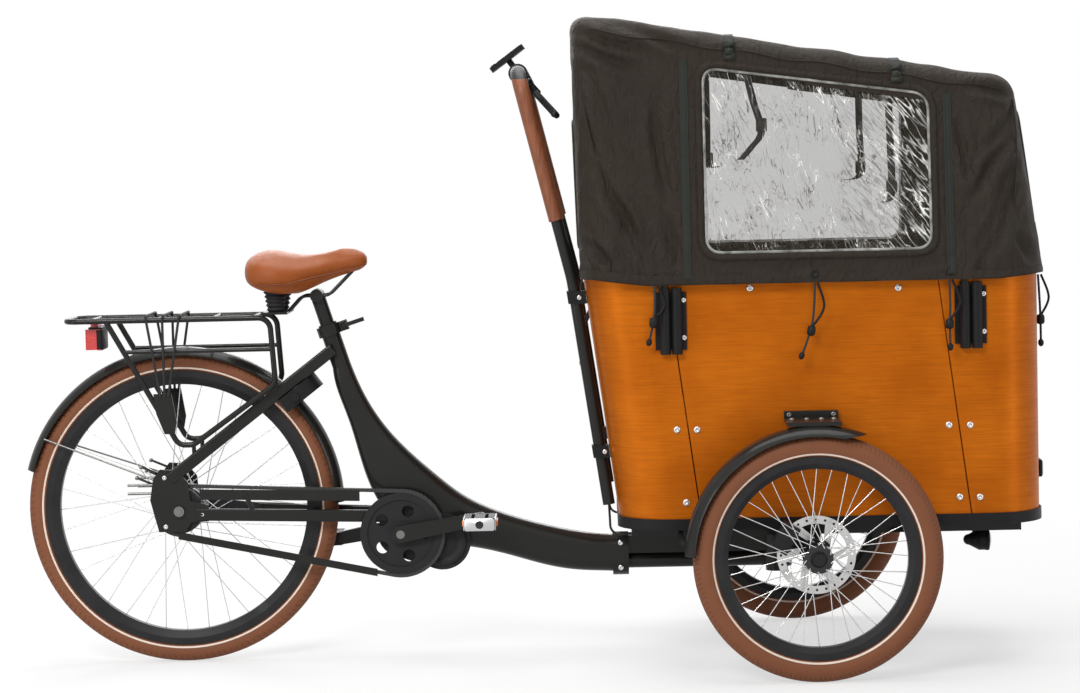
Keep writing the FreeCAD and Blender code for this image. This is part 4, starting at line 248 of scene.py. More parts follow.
class Paint(Tree):
    """One material under construction, with a principled shader as its surface."""

    def __init__(self, name, **constants):
        self.material = bpy.data.materials.new(name)
        super().__init__(self.material)
        titles = {label: label.replace("_", " ").title() for label in constants}
        titles["ior"] = "IOR"
        inputs = {titles[label]: value for label, value in constants.items()}
        self.shader = self.add("ShaderNodeBsdfPrincipled", None, inputs)
        self.surface = Wire(self.tree, self.shader.outputs[0])

    def place(self):
        return self.wire("ShaderNodeTexCoord", "Object")

    def axes(self):
        parts = self.add("ShaderNodeSeparateXYZ", None, {"Vector": self.place()})
        return [Wire(self.tree, parts.outputs[axis]) for axis in "XYZ"]

    def noise(self, scale, detail=3.0, stretch=None, distortion=0.0):
        where = self.place()
        if stretch:
            where = self.wire("ShaderNodeMapping", "Vector", None, {"Vector": where, "Scale": stretch})
        inputs = {"Vector": where, "Scale": scale, "Detail": detail, "Distortion": distortion}
        return self.wire("ShaderNodeTexNoise", "Fac", None, inputs)

    def ridges(self, scale, stretch, lean, width):
        """Thin bright lines along a leaning direction, seen from the side."""
        turn = (0.0, math.radians(lean), 0.0)
        inputs = {"Vector": self.place(), "Scale": stretch, "Rotation": turn}
        where = self.wire("ShaderNodeMapping", "Vector", {"vector_type": "TEXTURE"}, inputs)
        inputs = {"Vector": where, "Scale": scale, "Detail": 2.0, "Distortion": 0.6}
        height = self.wire("ShaderNodeTexNoise", "Fac", None, inputs)
        return 1.0 - (abs(height - 0.5) / width).clamped()

    def cells(self, scale):
        return self.wire("ShaderNodeTexVoronoi", "Distance", None, {"Vector": self.place(), "Scale": scale})

    def ramp(self, factor, start, end, top=1.0):
        """Grey that goes from none at one value to a top level at another."""
        stops = ((start, 0.0), (end, top))
        return self.wire("ShaderNodeValToRGB", "Color", {"stops": stops}, {"Fac": factor})

    def mixed(self, factor, first, second):
        """A blend of two colours; the colour sockets are the mix node's seventh and eighth."""
        first, second = ((*side, 1.0) if isinstance(side, tuple) else side for side in (first, second))
        return self.wire("ShaderNodeMix", 2, {"data_type": "RGBA"}, {0: factor, 6: first, 7: second})

    def around(self, axle):
        """Distance from a wheel's axle and angle around it."""
        x, _, z = self.axes()
        run, rise = x - axle.x, z - axle.z
        return (run * run + rise * rise).root(), rise.angle_from(run)

    def feed(self, label, value):
        plug(self.tree, self.shader.inputs[label], value)

    def shade(self, mask, first, second, rough, spread):
        """Colour and roughness that vary together over a mask."""
        self.feed("Base Color", self.mixed(mask, first, second))
        self.feed("Roughness", rough + spread * mask)

    def bump(self, height, strength, depth):
        inputs = {"Height": height, "Strength": strength, "Distance": depth}
        self.feed("Normal", self.wire("ShaderNodeBump", "Normal", None, inputs))

    def done(self):
        self.add("ShaderNodeOutputMaterial", None, {"Surface": self.surface})
        return self.material


def grey(level):
    return (level, level, level)


def scaled(colour, factor, lift=0.0):
    """A colour made lighter or darker, up to white."""
    return tuple(min(1.0, part * factor + lift) for part in colour)


def toned(colour, *shares):
    """A colour with a share of its own for red, green and blue."""
    return tuple(part * share for part, share in zip(colour, shares))


# Materials

def coated_metal(name, colour):
    """Powder coat: fine orange peel, dusty patches and slightly uneven gloss."""
    paint = Paint(name, coat_weight=0.22, coat_roughness=0.10, ior=1.22)
    patches = paint.noise(6.0, detail=4.0)
    paint.shade(patches, colour, scaled(colour, 1.3, lift=0.006), rough=0.25, spread=0.16)
    paint.bump(paint.noise(1400.0, detail=2.0), strength=0.12, depth=0.0004)
    return paint.done()


def cast_metal(name, colour):
    """Coated casting: grainy skin with darker pits."""
    paint = Paint(name, ior=1.25)
    grain = paint.noise(900.0)
    paint.shade(grain, colour, scaled(colour, 1.7, lift=0.004), rough=0.42, spread=0.20)
    paint.bump(grain, strength=0.35, depth=0.0006)
    return paint.done()


def bright_metal(name, colour, rough):
    """Bare polished metal with hairline scratches."""
    paint = Paint(name, metallic=1.0)
    hair = paint.noise(700.0, detail=2.0)
    paint.shade(hair, scaled(colour, 0.82), colour, rough=rough, spread=0.16)
    paint.bump(hair, strength=0.08, depth=0.0003)
    return paint.done()


HUB_BLACK_R = 0.034


def turned_metal(name, colour, axle):
    """A disc turned on a lathe, bright round a hub that is black in the middle."""
    paint = Paint(name)
    radius, _ = paint.around(axle)
    blotch = paint.noise(40.0)
    outside = radius > HUB_BLACK_R
    bright = paint.mixed(blotch, scaled(colour, 0.8), colour)
    paint.feed("Base Color", paint.mixed(outside, grey(0.006), bright))
    paint.feed("Metallic", outside)
    paint.feed("Roughness", 0.2 + 0.14 * blotch)
    paint.bump(radius.waves(9000.0), strength=0.06, depth=0.0002)
    return paint.done()


TREAD_COUNT = 150
TREAD_SLANT = 240.0
SHOULDER_HEIGHT = 0.016
PALE_LINE_WIDTH = 0.0036


def tyre_rubber(name, axle, line_r):
    """Brown rubber with moulded tread blocks, painted shade in their grooves, and a pale reflective line
    above the rim.
    """
    paint = Paint(name, ior=1.34)
    radius, angle = paint.around(axle)
    _, y, _ = paint.axes()
    outer_r = axle.z
    brown = tuple(look().tyre_colour)
    mottle = paint.noise(28.0, detail=5.0)
    rubber = paint.mixed(mottle, brown, scaled(brown, 1.25))
    slant = angle * TREAD_COUNT + abs(y - axle.y) * TREAD_SLANT
    groove = slant.sine().rise(0.72, steep=6.0) * radius.rise(outer_r - SHOULDER_HEIGHT, steep=300.0)
    # The grooves are painted darker: painted shade in the tread's recesses.
    rubber = paint.mixed(groove * 0.4, rubber, toned(brown, 0.417, 0.400, 0.444))
    line = radius.band(line_r, line_r + PALE_LINE_WIDTH)
    rubber = paint.mixed(line * (0.75 + 0.25 * mottle), rubber, (0.86, 0.74, 0.64))
    paint.feed("Base Color", rubber)
    paint.feed("Roughness", 0.62 - 0.25 * line + 0.12 * mottle)
    paint.bump(paint.noise(700.0, detail=2.0) * 0.2 - groove, strength=0.55, depth=0.0012)
    return paint.done()


def rim_alloy(name, axle):
    """Black rim with faint machining rings."""
    paint = Paint(name, coat_weight=0.06, ior=1.25)
    radius, _ = paint.around(axle)
    smear = paint.noise(22.0, detail=4.0)
    paint.shade(smear, (0.010, 0.010, 0.011), (0.026, 0.026, 0.028), rough=0.26, spread=0.14)
    paint.bump(radius.waves(5200.0), strength=0.05, depth=0.0002)
    return paint.done()


def black_rubber(name):
    """Soft black rubber, dusty in patches."""
    paint = Paint(name, ior=1.36)
    dust = paint.noise(60.0, detail=4.0)
    paint.shade(dust, grey(0.011), grey(0.0242), rough=0.55, spread=0.20)
    paint.bump(paint.noise(1100.0, detail=2.0), strength=0.2, depth=0.0005)
    return paint.done()


def belt_rubber(name):
    """Toothed belt: cross ribs along its run."""
    paint = Paint(name, ior=1.45)
    x, _, z = paint.axes()
    ribs = (x + z * 0.3).waves(900.0)
    paint.shade(ribs, grey(0.012), grey(0.03), rough=0.5, spread=0.20)
    paint.bump(ribs, strength=0.5, depth=0.001)
    return paint.done()


def moulded_plastic(name, colour, rough=0.39):
    """Fine spark-eroded texture on moulded plastic."""
    paint = Paint(name, ior=1.24)
    haze = paint.noise(35.0, detail=4.0)
    paint.shade(haze, colour, scaled(colour, 1.6, lift=0.002), rough=rough, spread=0.14)
    paint.bump(paint.cells(1600.0), strength=0.12, depth=0.0004)
    return paint.done()


def lens_plastic(name, colour):
    """A moulded reflector: small prisms under a clear skin."""
    paint = Paint(name, coat_weight=0.8, coat_roughness=0.05, ior=1.49)
    prisms = paint.cells(420.0)
    paint.shade(prisms, colour, scaled(colour, 1.8, lift=0.02), rough=0.12, spread=0.25)
    paint.bump(prisms, strength=0.4, depth=0.001)
    return paint.done()


def leather(name, colour):
    """Grained leather, darker in the pores, with polish where it is rubbed."""
    paint = Paint(name, coat_weight=0.06, coat_roughness=0.35, ior=1.32)
    pores = paint.cells(820.0)
    folds = paint.noise(60.0, detail=5.0)
    base = paint.mixed(paint.noise(9.0), colour, scaled(colour, 1.3))
    depth = (pores * 1.3).clamped() * 0.35 + folds * 0.25
    paint.feed("Base Color", paint.mixed(depth, base, scaled(colour, 0.55)))
    paint.feed("Roughness", 0.36 + 0.22 * folds)
    paint.bump(folds * 0.6 - pores, strength=0.4, depth=0.0008)
    return paint.done()


STITCH_PITCH, STITCH_SHARE = 0.0045, 0.35
GRIP_LOW_Z = 1.230


def wrap_leather(name):
    """Leather sleeve sewn along the bar, rubbed brown with lengthwise creases, below a black grip."""
    paint = Paint(name, coat_weight=0.12, coat_roughness=0.3, ior=1.42)
    _, _, z = paint.axes()
    pores = paint.cells(900.0)
    streaks = paint.noise(90.0, detail=4.0, stretch=(3.0, 3.0, 0.25))
    rub = paint.noise(14.0, detail=4.0)
    stitches = (z / STITCH_PITCH).fraction() < STITCH_SHARE
    base = paint.mixed(rub, (0.170, 0.047, 0.015), (0.310, 0.092, 0.032))
    hide = paint.mixed((streaks - 0.42).clamped() * 1.6 + pores * 0.12, base, (0.040, 0.012, 0.006))
    paint.feed("Base Color", paint.mixed(z > GRIP_LOW_Z, hide, grey(0.008)))
    paint.feed("Roughness", 0.36 + 0.2 * rub)
    paint.bump(streaks * 1.2 - pores * 0.3 - stitches * 0.15, strength=0.5, depth=0.001)
    return paint.done()


def plywood(name):
    """Stained and varnished plywood: fine level grain, warm blotches, satin skin."""
    paint = Paint(name, coat_weight=0.02, coat_roughness=0.22, ior=1.15, metallic=0.42)
    grain = paint.noise(34.0, detail=8.0, stretch=(0.30, 0.30, 9.0), distortion=0.3)
    fibre = paint.noise(230.0, detail=4.0, stretch=(0.10, 0.10, 4.5))
    blotch = paint.noise(9.0, detail=6.0)
    amber = tuple(look().wood_colour)
    deep, light = toned(amber, 0.6235, 0.510, 0.600), toned(amber, 1.2824, 1.400, 1.867)
    base = paint.mixed(paint.ramp(blotch, start=0.32, end=0.68), amber, light)
    base = paint.mixed(paint.ramp(grain, start=0.42, end=0.75, top=0.42), base, deep)
    pores = paint.ramp(fibre, start=0.48, end=0.74, top=0.38)
    paint.feed("Base Color", paint.mixed(pores, base, deep))
    paint.feed("Roughness", 0.32 + 0.14 * grain)
    paint.bump(fibre * 0.6 + grain * 0.4, strength=0.10, depth=0.0006)
    return paint.done()


WEAVE_PACE = 3800.0


def tent_cloth(name):
    """Coated woven cloth: crossed threads, dull sheen, and creases painted lighter on their raised ridges as
    dust and as painted highlight.
    """
    paint = Paint(name, ior=1.28)
    x, y, z = paint.axes()
    threads = ((x + y) * WEAVE_PACE).sine() * (z * WEAVE_PACE).sine()
    fade = paint.noise(5.0, detail=5.0)
    crease = paint.noise(38.0, detail=5.0, stretch=(1.6, 1.6, 0.7), distortion=1.2)
    dark = tuple(look().cloth_colour)
    faded, dust_and_sheen = toned(dark, 1.652, 1.688, 1.810), toned(dark, 2.609, 2.727, 2.976)
    # The creases' raised ridges are painted lighter: dust and painted highlight.
    paint.feed("Base Color", paint.mixed(crease * 0.3, paint.mixed(fade, dark, faded), dust_and_sheen))
    paint.feed("Roughness", 0.42 + 0.16 * crease)
    paint.bump(threads * 0.05 + crease * 1.6, strength=0.7, depth=0.0060)
    return paint.done()


RIB_PACE = 2600.0


def webbing(name):
    """Woven strap: tight slanting ribs."""
    paint = Paint(name, sheen_weight=0.05, ior=1.45)
    x, y, z = paint.axes()
    ribs = ((x + z) * RIB_PACE).sine() * ((z - x + y) * RIB_PACE).sine()
    wear = paint.noise(30.0)
    paint.shade(wear, grey(0.012), grey(0.024), rough=0.7, spread=0.15)
    paint.bump(ribs, strength=0.4, depth=0.0006)
    return paint.done()


def zip_tape(name):
    """Green-grey zip tape with a coil of small teeth down its middle."""
    paint = Paint(name, ior=1.33)
    _, _, z = paint.axes()
    teeth = z.waves(RIB_PACE)
    wear = paint.noise(18.0, detail=4.0)
    base = paint.mixed(wear, (0.0085, 0.0100, 0.0070), (0.0150, 0.0170, 0.0125))
    paint.feed("Base Color", paint.mixed(teeth * 0.3, base, (0.018, 0.022, 0.018)))
    paint.feed("Roughness", 0.5 + 0.2 * wear)
    paint.bump(teeth, strength=0.5, depth=0.0008)
    return paint.done()


# Where the windows' streaks turn from upright to slanted, forward of the front axle
SLANT_START = 0.10


def clear_sheet(name):
    """Clear soft sheet, a little grey, with painted highlights: streaks and specks, near white and more
    opaque, where its creases catch the light.
    """
    paint = Paint(name, ior=1.3)
    x, _, _ = paint.axes()
    warp = paint.noise(3.5, detail=2.0)
    upright = paint.ridges(30.0, (0.40, 0.40, 4.0), lean=-6.0, width=0.016)
    leaning = paint.ridges(26.0, (0.45, 0.45, 4.5), lean=-24.0, width=0.012)
    slanted = paint.ridges(30.0, (0.36, 0.36, 2.6), lean=-38.0, width=0.060)
    # Specks of painted glint, added to the painted highlight of the streaks.
    glint_specks = paint.ridges(95.0, (0.6, 0.6, 1.8), lean=-20.0, width=0.030)
    broken = paint.noise(16.0).rise(0.46, steep=7.0)
    patches = paint.noise(9.0, distortion=1.0).rise(0.46, steep=7.0)
    to_front = x.rise(FRONT_X + SLANT_START, steep=14.0)
    shine = (upright * broken + leaning * patches) * (1.0 - to_front)
    shine = shine + slanted * to_front * (0.45 + 0.55 * broken)
    shine = (shine + glint_specks * patches * broken * 0.8).clamped()
    # The shine is painted highlight: there the sheet is painted near white and made more opaque.
    paint.feed("Base Color", paint.mixed(shine, (0.066, 0.056, 0.042), (0.96, 0.96, 0.92)))
    paint.feed("Roughness", 0.22 + 0.1 * warp)
    paint.feed("Alpha", (0.25 + 0.08 * warp + 0.72 * shine).clamped())
    paint.bump(upright + slanted * 0.5 + warp, strength=0.4, depth=0.002)
    return paint.done()


def milky_edge(name):
    """The doubled edge of the clear sheet, where it is welded and looks milky."""
    paint = Paint(name, ior=1.4, coat_weight=0.4)
    ripple = paint.ramp(paint.noise(34.0, detail=5.0), start=0.30, end=0.70)
    paint.shade(ripple, (0.11, 0.11, 0.10), (0.42, 0.42, 0.39), rough=0.25, spread=0.15)
    paint.feed("Alpha", 0.55 + 0.4 * ripple)
    paint.bump(ripple, strength=0.4, depth=0.001)
    return paint.done()


def screen_glass(name):
    """Dark glossy display glass."""
    paint = Paint(name, coat_weight=0.6, coat_roughness=0.03, ior=1.52)
    smear = paint.noise(45.0, detail=4.0)
    paint.shade(smear, (0.006, 0.007, 0.009), (0.014, 0.015, 0.018), rough=0.06, spread=0.08)
    return paint.done()


MADE = {}


def finish(name, maker, *values):
    """A material by name, made on its first use."""
    if name not in MADE:
        MADE[name] = maker(name, *values)
    return MADE[name]


def frame_black():
    return finish("frame_black", coated_metal, tuple(look().frame_colour))


def motor_black():
    return finish("motor_black", cast_metal, (0.012, 0.012, 0.013))


def plastic_black():
    return finish("plastic_black", moulded_plastic, (0.007, 0.007, 0.0075))


def rubber_black():
    return finish("rubber_black", black_rubber)


def bright_steel():
    return finish("bright_steel", bright_metal, grey(0.66), 0.16)


def dark_steel():
    return finish("dark_steel", bright_metal, (0.20, 0.20, 0.19), 0.29)


def bright_alloy():
    return finish("bright_alloy", bright_metal, (0.60, 0.60, 0.61), 0.24)


def strap_web():
    return finish("strap_webbing", webbing)


def cloth():
    return finish("tent_cloth", tent_cloth)


# Inner radius of each tyre's pale line
REAR_LINE_R, FRONT_LINE_R = 0.2998, 0.2095


def rigid_finishes():
    """Every carried-over node with its finish."""
    table = {
        "main_frame_tube seat_stays chain_stays dropouts rear_mudguard rear_rack frame_clamps steering_beam "
        "seat_post saddle_rails clamp_lever front_chassis handlebar front_mudguards crank_arms "
        "brake_lever_right brake_lever_left tent_poles": frame_black(),
        "motor_housing rear_brake front_sprocket rear_sprocket brake_calipers": motor_black(),
        "box_side_panels box_end_panels bench": finish("plywood_amber", plywood),
        "box_floor battery handlebar_clamps display pole_sockets headlamp ring_lock": plastic_black(),
        "rack_straps saddle_bellows control_cables gear_shifter": rubber_black(),
        "drive_belt": finish("belt_black", belt_rubber),
        "rear_axle crank_axles": dark_steel(),
        "rear_hub": bright_alloy(),
        "rear_spokes front_spokes_right front_spokes_left": bright_steel(),
        "pedal_right pedal_left": finish("pedal_black", moulded_plastic, grey(0.012), 0.44),
        "tail_light": finish("lens_red", lens_plastic, (0.36, 0.008, 0.006)),
        "handlebar_wraps": finish("wrap_leather", wrap_leather),
        "rear_rim": finish("rear_rim_black", rim_alloy, REAR_AXLE),
        "rear_tyre": finish("rear_tyre_brown", tyre_rubber, REAR_AXLE, REAR_LINE_R),
    }
    for side in SIDE_NAMES.values():
        axle = middle_of("front_tyre_" + side)
        table["front_rim_" + side] = finish("front_rim_black_" + side, rim_alloy, axle)
        table["front_tyre_" + side] = finish("front_tyre_brown_" + side, tyre_rubber, axle, FRONT_LINE_R)
        table["front_hub_" + side] = finish("disc_steel_" + side, turned_metal, (0.62, 0.62, 0.61), axle)
    return {name: material for names, material in table.items() for name in names.split()}


class TRICYCLE_OT_finishes(bpy.types.Operator):
    """Give every rigid part its finish"""

    bl_idname = "tricycle.finishes"
    bl_label = "Finish the rigid parts"

    def execute(self, context):
        for name, material in rigid_finishes().items():
            mesh = NODES[name].data
            mesh.materials.clear()
            mesh.materials.append(material)
        return {"FINISHED"}


# Mesh helpers

def link(obj, body, material):
    """Put a finished piece into the scene, on its body."""
    bpy.context.scene.collection.objects.link(obj)
    obj.data.materials.clear()
    obj.data.materials.append(material)
    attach(obj, body)
    return obj


def circle(centre, axis, radius, count):
    """Points round a circle about an axis."""
    side = axis.orthogonal().normalized()
    other = axis.cross(side)
    angles = [2 * math.pi * step / count for step in range(count)]
    return [centre + (side * math.cos(angle) + other * math.sin(angle)) * radius for angle in angles]


def directions(points):
    """The way that a run of points heads at each of them."""
    last = len(points) - 1
    ends = [(max(index - 1, 0), min(index + 1, last)) for index in range(last + 1)]
    return [(points[after] - points[before]).normalized() for before, after in ends]


def smooth_run(points, steps=8):
    """Extra points on a gentle curve through the given ones."""
    spots = []
    for index in range(len(points) - 1):
        before = points[max(index - 1, 0)]
        first, second = points[index], points[index + 1]
        after = points[min(index + 2, len(points) - 1)]
        leave, reach = (second - before) * 0.5, (after - first) * 0.5
        for step in range(steps):
            share = step / steps
            square, cube = share ** 2, share ** 3
            spots.append(
                first * (2 * cube - 3 * square + 1) + leave * (cube - 2 * square + share)
                + second * (3 * square - 2 * cube) + reach * (cube - square)
            )
    spots.append(points[-1])
    return spots


class Build:
    """Points and faces of one piece, gathered shape by shape."""

    SOFT_EDGE_SHARE = 0.35
    CORNER_STEPS = 5

    def __init__(self):
        self.verts = []
        self.faces = []

    def grid(self, rows, closed=False, cap=False):
        """A skin over rows of points; closed joins each row's ends."""
        base = len(self.verts)
        wide = len(rows[0])
        for row in rows:
            self.verts.extend(row)
        span = wide if closed else wide - 1
        for level in range(len(rows) - 1):
            low, high = base + level * wide, base + (level + 1) * wide
            for column in range(span):
                beside = (column + 1) % wide
                self.faces.append((low + column, low + beside, high + beside, high + column))
        if cap:
            self.faces.append(tuple(base + column for column in reversed(range(wide))))
            last = base + (len(rows) - 1) * wide
            self.faces.append(tuple(last + column for column in range(wide)))

    def lathe(self, origin, axis, profile, segments):
        """A turned shape: profile of (along, radius) about an axis."""
        axis = axis.normalized()
        rows = [circle(origin + axis * along, axis, radius, segments) for along, radius in profile]
        self.grid(rows, closed=True, cap=True)

    def tube(self, points, radius, sides):
        """A round cord along points."""
        ways = directions(points)
        rows = [circle(spot, way, radius, sides) for spot, way in zip(points, ways)]
        self.grid(rows, closed=True, cap=True)

    def ribbon(self, points, across, width, thick):
        """A flat strap along points; across is its width direction."""
        wide = across * (width / 2)
        rows = []
        for spot, way in zip(points, directions(points)):
            deep = way.cross(across).normalized() * (thick / 2)
            rows.append([spot - wide - deep, spot + wide - deep, spot + wide + deep, spot - wide + deep])
        self.grid(rows, closed=True, cap=True)

    def slab(self, centre, along, across, half_long, half_wide, depth, corner):
        """A plate with round corners and a softened front edge."""
        along, across = along.normalized(), across.normalized()
        normal = along.cross(across)
        soft = min(depth, corner) * self.SOFT_EDGE_SHARE
        rows = []
        for inset, lift in ((0, 0), (0, depth - soft), (soft, depth)):
            row = []
            for quarter, (ahead, aside) in enumerate(((1, 1), (-1, 1), (-1, -1), (1, -1))):
                hub = centre + along * (ahead * (half_long - corner))
                hub += across * (aside * (half_wide - corner)) + normal * lift
                for step in range(self.CORNER_STEPS):
                    angle = math.pi / 2 * (quarter + step / (self.CORNER_STEPS - 1))
                    outward = along * math.cos(angle) + across * math.sin(angle)
                    row.append(hub + outward * (corner - inset))
            rows.append(row)
        self.grid(rows, closed=True, cap=True)

    def mesh(self, name):
        mesh = bpy.data.meshes.new(name)
        mesh.from_pydata([tuple(spot) for spot in self.verts], [], self.faces)
        return mesh

    def piece(self, name, body, material, slot, smooth=True):
        mesh = self.mesh(name)
        mesh.validate()
        if smooth:
            mesh.shade_smooth()
        return link(bpy.data.objects.new(name, mesh), body, material)


def mirrored(point, side):
    """A point given for the right side, on the side asked for."""
    return Vector((point.x, -side * point.y, point.z))


def risen(value, start, run):
    """Zero up to a start, then rising to one over a run."""
    return min(1.0, max(0.0, (value - start) / run))


# Tent

TENT = {
    "hem_z": 0.803,
    "hem_front": 0.481,
    "hem_back": 0.467,
    "hem_half": 0.338,
    "hem_corner": 0.095,
    "roof_front": 0.434,
    "roof_back": 0.480,
    "roof_half": 0.283,
    "roof_corner": 0.080,
    "roof_front_z": 1.208,
    "roof_back_z": 1.362,
    "round": 0.038,
}
WINDOW = {"back": -0.212, "front": 0.250, "low": 0.864, "back_z": 1.246, "front_z": 1.182, "corner": 0.036}
END_WINDOW = {"half": 0.215, "low": 0.890, "high": 1.130}
# A point further out than this, as a share of the roof's half width, is on a side wall
SIDE_WALL_SHARE = 0.9
# How far the end windows' openings may lie behind the roof's front edge, and ahead of the hem's back edge
FRONT_OPENING_DEPTH, BACK_OPENING_DEPTH = 0.02, 0.03
# Half width of the roof's last ring, so small that its two sides are sewn into one line
RIDGE_HALF = 0.00008
SEWN_GAP = 0.0002
# Most of a ring's half width that its round corners may take up
LARGEST_CORNER_SHARE = 0.999
# Columns on each stretch of the tent's outline, and rows up the wall, round the edge and over the roof
LONG_COLUMNS, CORNER_COLUMNS, END_COLUMNS = 160, 18, 80
WALL_ROWS, ROUND_ROWS, ROOF_ROWS = 110, 8, 26


def roof_z(x):
    """Height of the roof plane at a place along X."""
    share = (x - FRONT_X + TENT["roof_back"]) / (TENT["roof_front"] + TENT["roof_back"])
    return TENT["roof_back_z"] + share * (TENT["roof_front_z"] - TENT["roof_back_z"])


def window_top(x):
    """Height of a side window's upper edge, forward of the front axle."""
    share = (x - WINDOW["back"]) / (WINDOW["front"] - WINDOW["back"])
    return WINDOW["back_z"] + share * (WINDOW["front_z"] - WINDOW["back_z"])


def outline(centre_x, half_long, half_wide, corner):
    """Points round a rounded rectangle, in even steps on each stretch."""
    corner = max(RIDGE_HALF / 2, min(corner, half_wide * LARGEST_CORNER_SHARE))
    spots = []
    corners = ((1, 1, LONG_COLUMNS), (-1, 1, END_COLUMNS), (-1, -1, LONG_COLUMNS), (1, -1, END_COLUMNS))
    for index, (sign_x, sign_y, straight) in enumerate(corners):
        start = 90 * index
        hub_x, hub_y = centre_x + sign_x * (half_long - corner), sign_y * (half_wide - corner)
        for step in range(CORNER_COLUMNS):
            angle = math.radians(start + 90 * step / CORNER_COLUMNS)
            spots.append((hub_x + corner * math.cos(angle), hub_y + corner * math.sin(angle)))
        angle = math.radians(start + 90)
        first = (hub_x + corner * math.cos(angle), hub_y + corner * math.sin(angle))
        if straight == LONG_COLUMNS:
            last = (hub_x - sign_x * 2 * (half_long - corner), first[1])
        else:
            last = (first[0], hub_y - sign_y * 2 * (half_wide - corner))
        for step in range(straight):
            share = step / straight
            spots.append((first[0] + share * (last[0] - first[0]), first[1] + share * (last[1] - first[1])))
    return spots


def tent_row(share, inset, drop):
    """One ring of the tent: share of the way up the wall, inset from its outline, drop below the roof."""
    def between(low, high):
        return low + share * (high - low)

    front = between(TENT["hem_front"], TENT["roof_front"])
    back = between(TENT["hem_back"], TENT["roof_back"])
    half_long = (front + back) / 2 - inset
    half_wide = between(TENT["hem_half"], TENT["roof_half"]) - inset
    corner = between(TENT["hem_corner"], TENT["roof_corner"]) - inset
    centre_x = FRONT_X + (front - back) / 2
    spots = outline(centre_x, half_long, max(half_wide, RIDGE_HALF), corner)
    return [Vector((x, y, between(TENT["hem_z"], roof_z(x) - drop))) for x, y in spots]


def tent_rows():
    """All the tent's rings, up its walls, round the roof's edge and over the roof."""
    rows = [tent_row(level / WALL_ROWS, 0, TENT["round"]) for level in range(WALL_ROWS)]
    for level in range(ROUND_ROWS):
        angle = math.pi / 2 * level / ROUND_ROWS
        inset, drop = TENT["round"] * (1 - math.cos(angle)), TENT["round"] * (1 - math.sin(angle))
        rows.append(tent_row(1, inset, drop))
    for level in range(ROOF_ROWS + 1):
        inset = TENT["round"] + (TENT["roof_half"] - TENT["round"]) * level / ROOF_ROWS
        rows.append(tent_row(1, inset, 0))
    return rows


# Creases of a side wall, from one end to the other, forward of the front axle and up
CREASES = (
    ((-0.471, 1.325), (-0.310, 1.268)), ((-0.400, 1.332), (-0.215, 1.272)),
    ((-0.484, 1.300), (-0.345, 1.240)), ((-0.450, 1.250), (-0.372, 1.050)),
    ((-0.430, 1.060), (-0.345, 0.880)), ((-0.405, 1.000), (-0.330, 0.835)),
    ((-0.470, 0.890), (-0.400, 0.842)), ((-0.455, 0.935), (-0.415, 0.830)),
    ((-0.385, 0.930), (-0.365, 0.825)), ((-0.300, 1.190), (-0.285, 0.960)),
    ((-0.290, 0.940), (-0.262, 0.840)), ((0.322, 1.200), (0.426, 1.178)),
    ((0.439, 1.120), (0.318, 0.960)), ((0.443, 1.075), (0.332, 0.838)),
    ((0.446, 1.035), (0.380, 0.855)), ((0.420, 0.990), (0.345, 0.815)),
    ((0.420, 0.895), (0.462, 0.826)), ((0.440, 1.150), (0.360, 1.060)),
    ((0.205, 0.836), (0.290, 0.845)), ((-0.120, 0.842), (0.060, 0.834)),
    ((0.300, 1.130), (0.325, 0.990)),
)
CREASE_WIDTH = 0.011
# In crease widths: how far a crease wanders, and how far off its ridge runs; then the ridge's height
CREASE_WANDER, RIDGE_BESIDE, RIDGE_SHARE = 1.4, 1.9, 0.55
# How bluntly a crease fades at its ends
CREASE_FADE = 0.6
# How often each kind of fold repeats along the tent, across it and up it
SLACK_PACE = 4.0
LEAN_PACES = Matrix(((13.0, 0.0, 6.0), (0.0, 11.0, 0.0), (-4.0, 0.0, 3.0)))
TUCK_PACES = Matrix(((19.0, 0.0, 9.0), (0.0, 7.0, 0.0), (0.0, 0.0, 0.0)))
TUCK_START = Vector((0.0, 0.0, 5.0))
CRINKLE_PACES = Matrix.Diagonal((46.0, 46.0, 18.0))
FOLD_SHARES = {"slack": 0.30, "lean": 0.40, "tuck": 0.35, "drawn": 0.60}
# How much of the leaning folds joins the slack in making the drawn creases wander
LEAN_WANDER_SHARE = 0.6
# Where folding starts and how soon it is full: off a window's binding, below the roof, and out to the sides
CALM_EDGE, CALM_RUN = 0.012, 0.05
ROOF_RUN = 0.08
SIDE_START, SIDE_RUN = 0.20, 0.08


def drawn_creases(x, z, wander):
    """Valleys along the creases of a wall, each with a soft ridge beside it."""
    spot = Vector((x, z))
    height = 0.0
    for first, last in CREASES:
        start, run = Vector(first), Vector(last) - Vector(first)
        share = (spot - start).dot(run) / run.length_squared
        if not 0 < share < 1:
            continue
        beside = (spot - start).cross(run) / run.length / CREASE_WIDTH + CREASE_WANDER * wander
        valley = math.exp(-beside ** 2)
        ridge = math.exp(-(abs(beside) - RIDGE_BESIDE) ** 2)
        height += (RIDGE_SHARE * ridge - valley) * math.sin(math.pi * share) ** CREASE_FADE
    return height


def window_calm(x, y, z):
    """How much folding is left near a window's binding: none at its edge, all far from it."""
    if abs(y) < TENT["roof_half"] * SIDE_WALL_SHARE:
        beside = max(abs(y) - END_WINDOW["half"], END_WINDOW["low"] - z, z - END_WINDOW["high"])
    else:
        beside = max(WINDOW["back"] - x, x - WINDOW["front"], WINDOW["low"] - z, z - window_top(x))
    return risen(beside, CALM_EDGE, CALM_RUN)


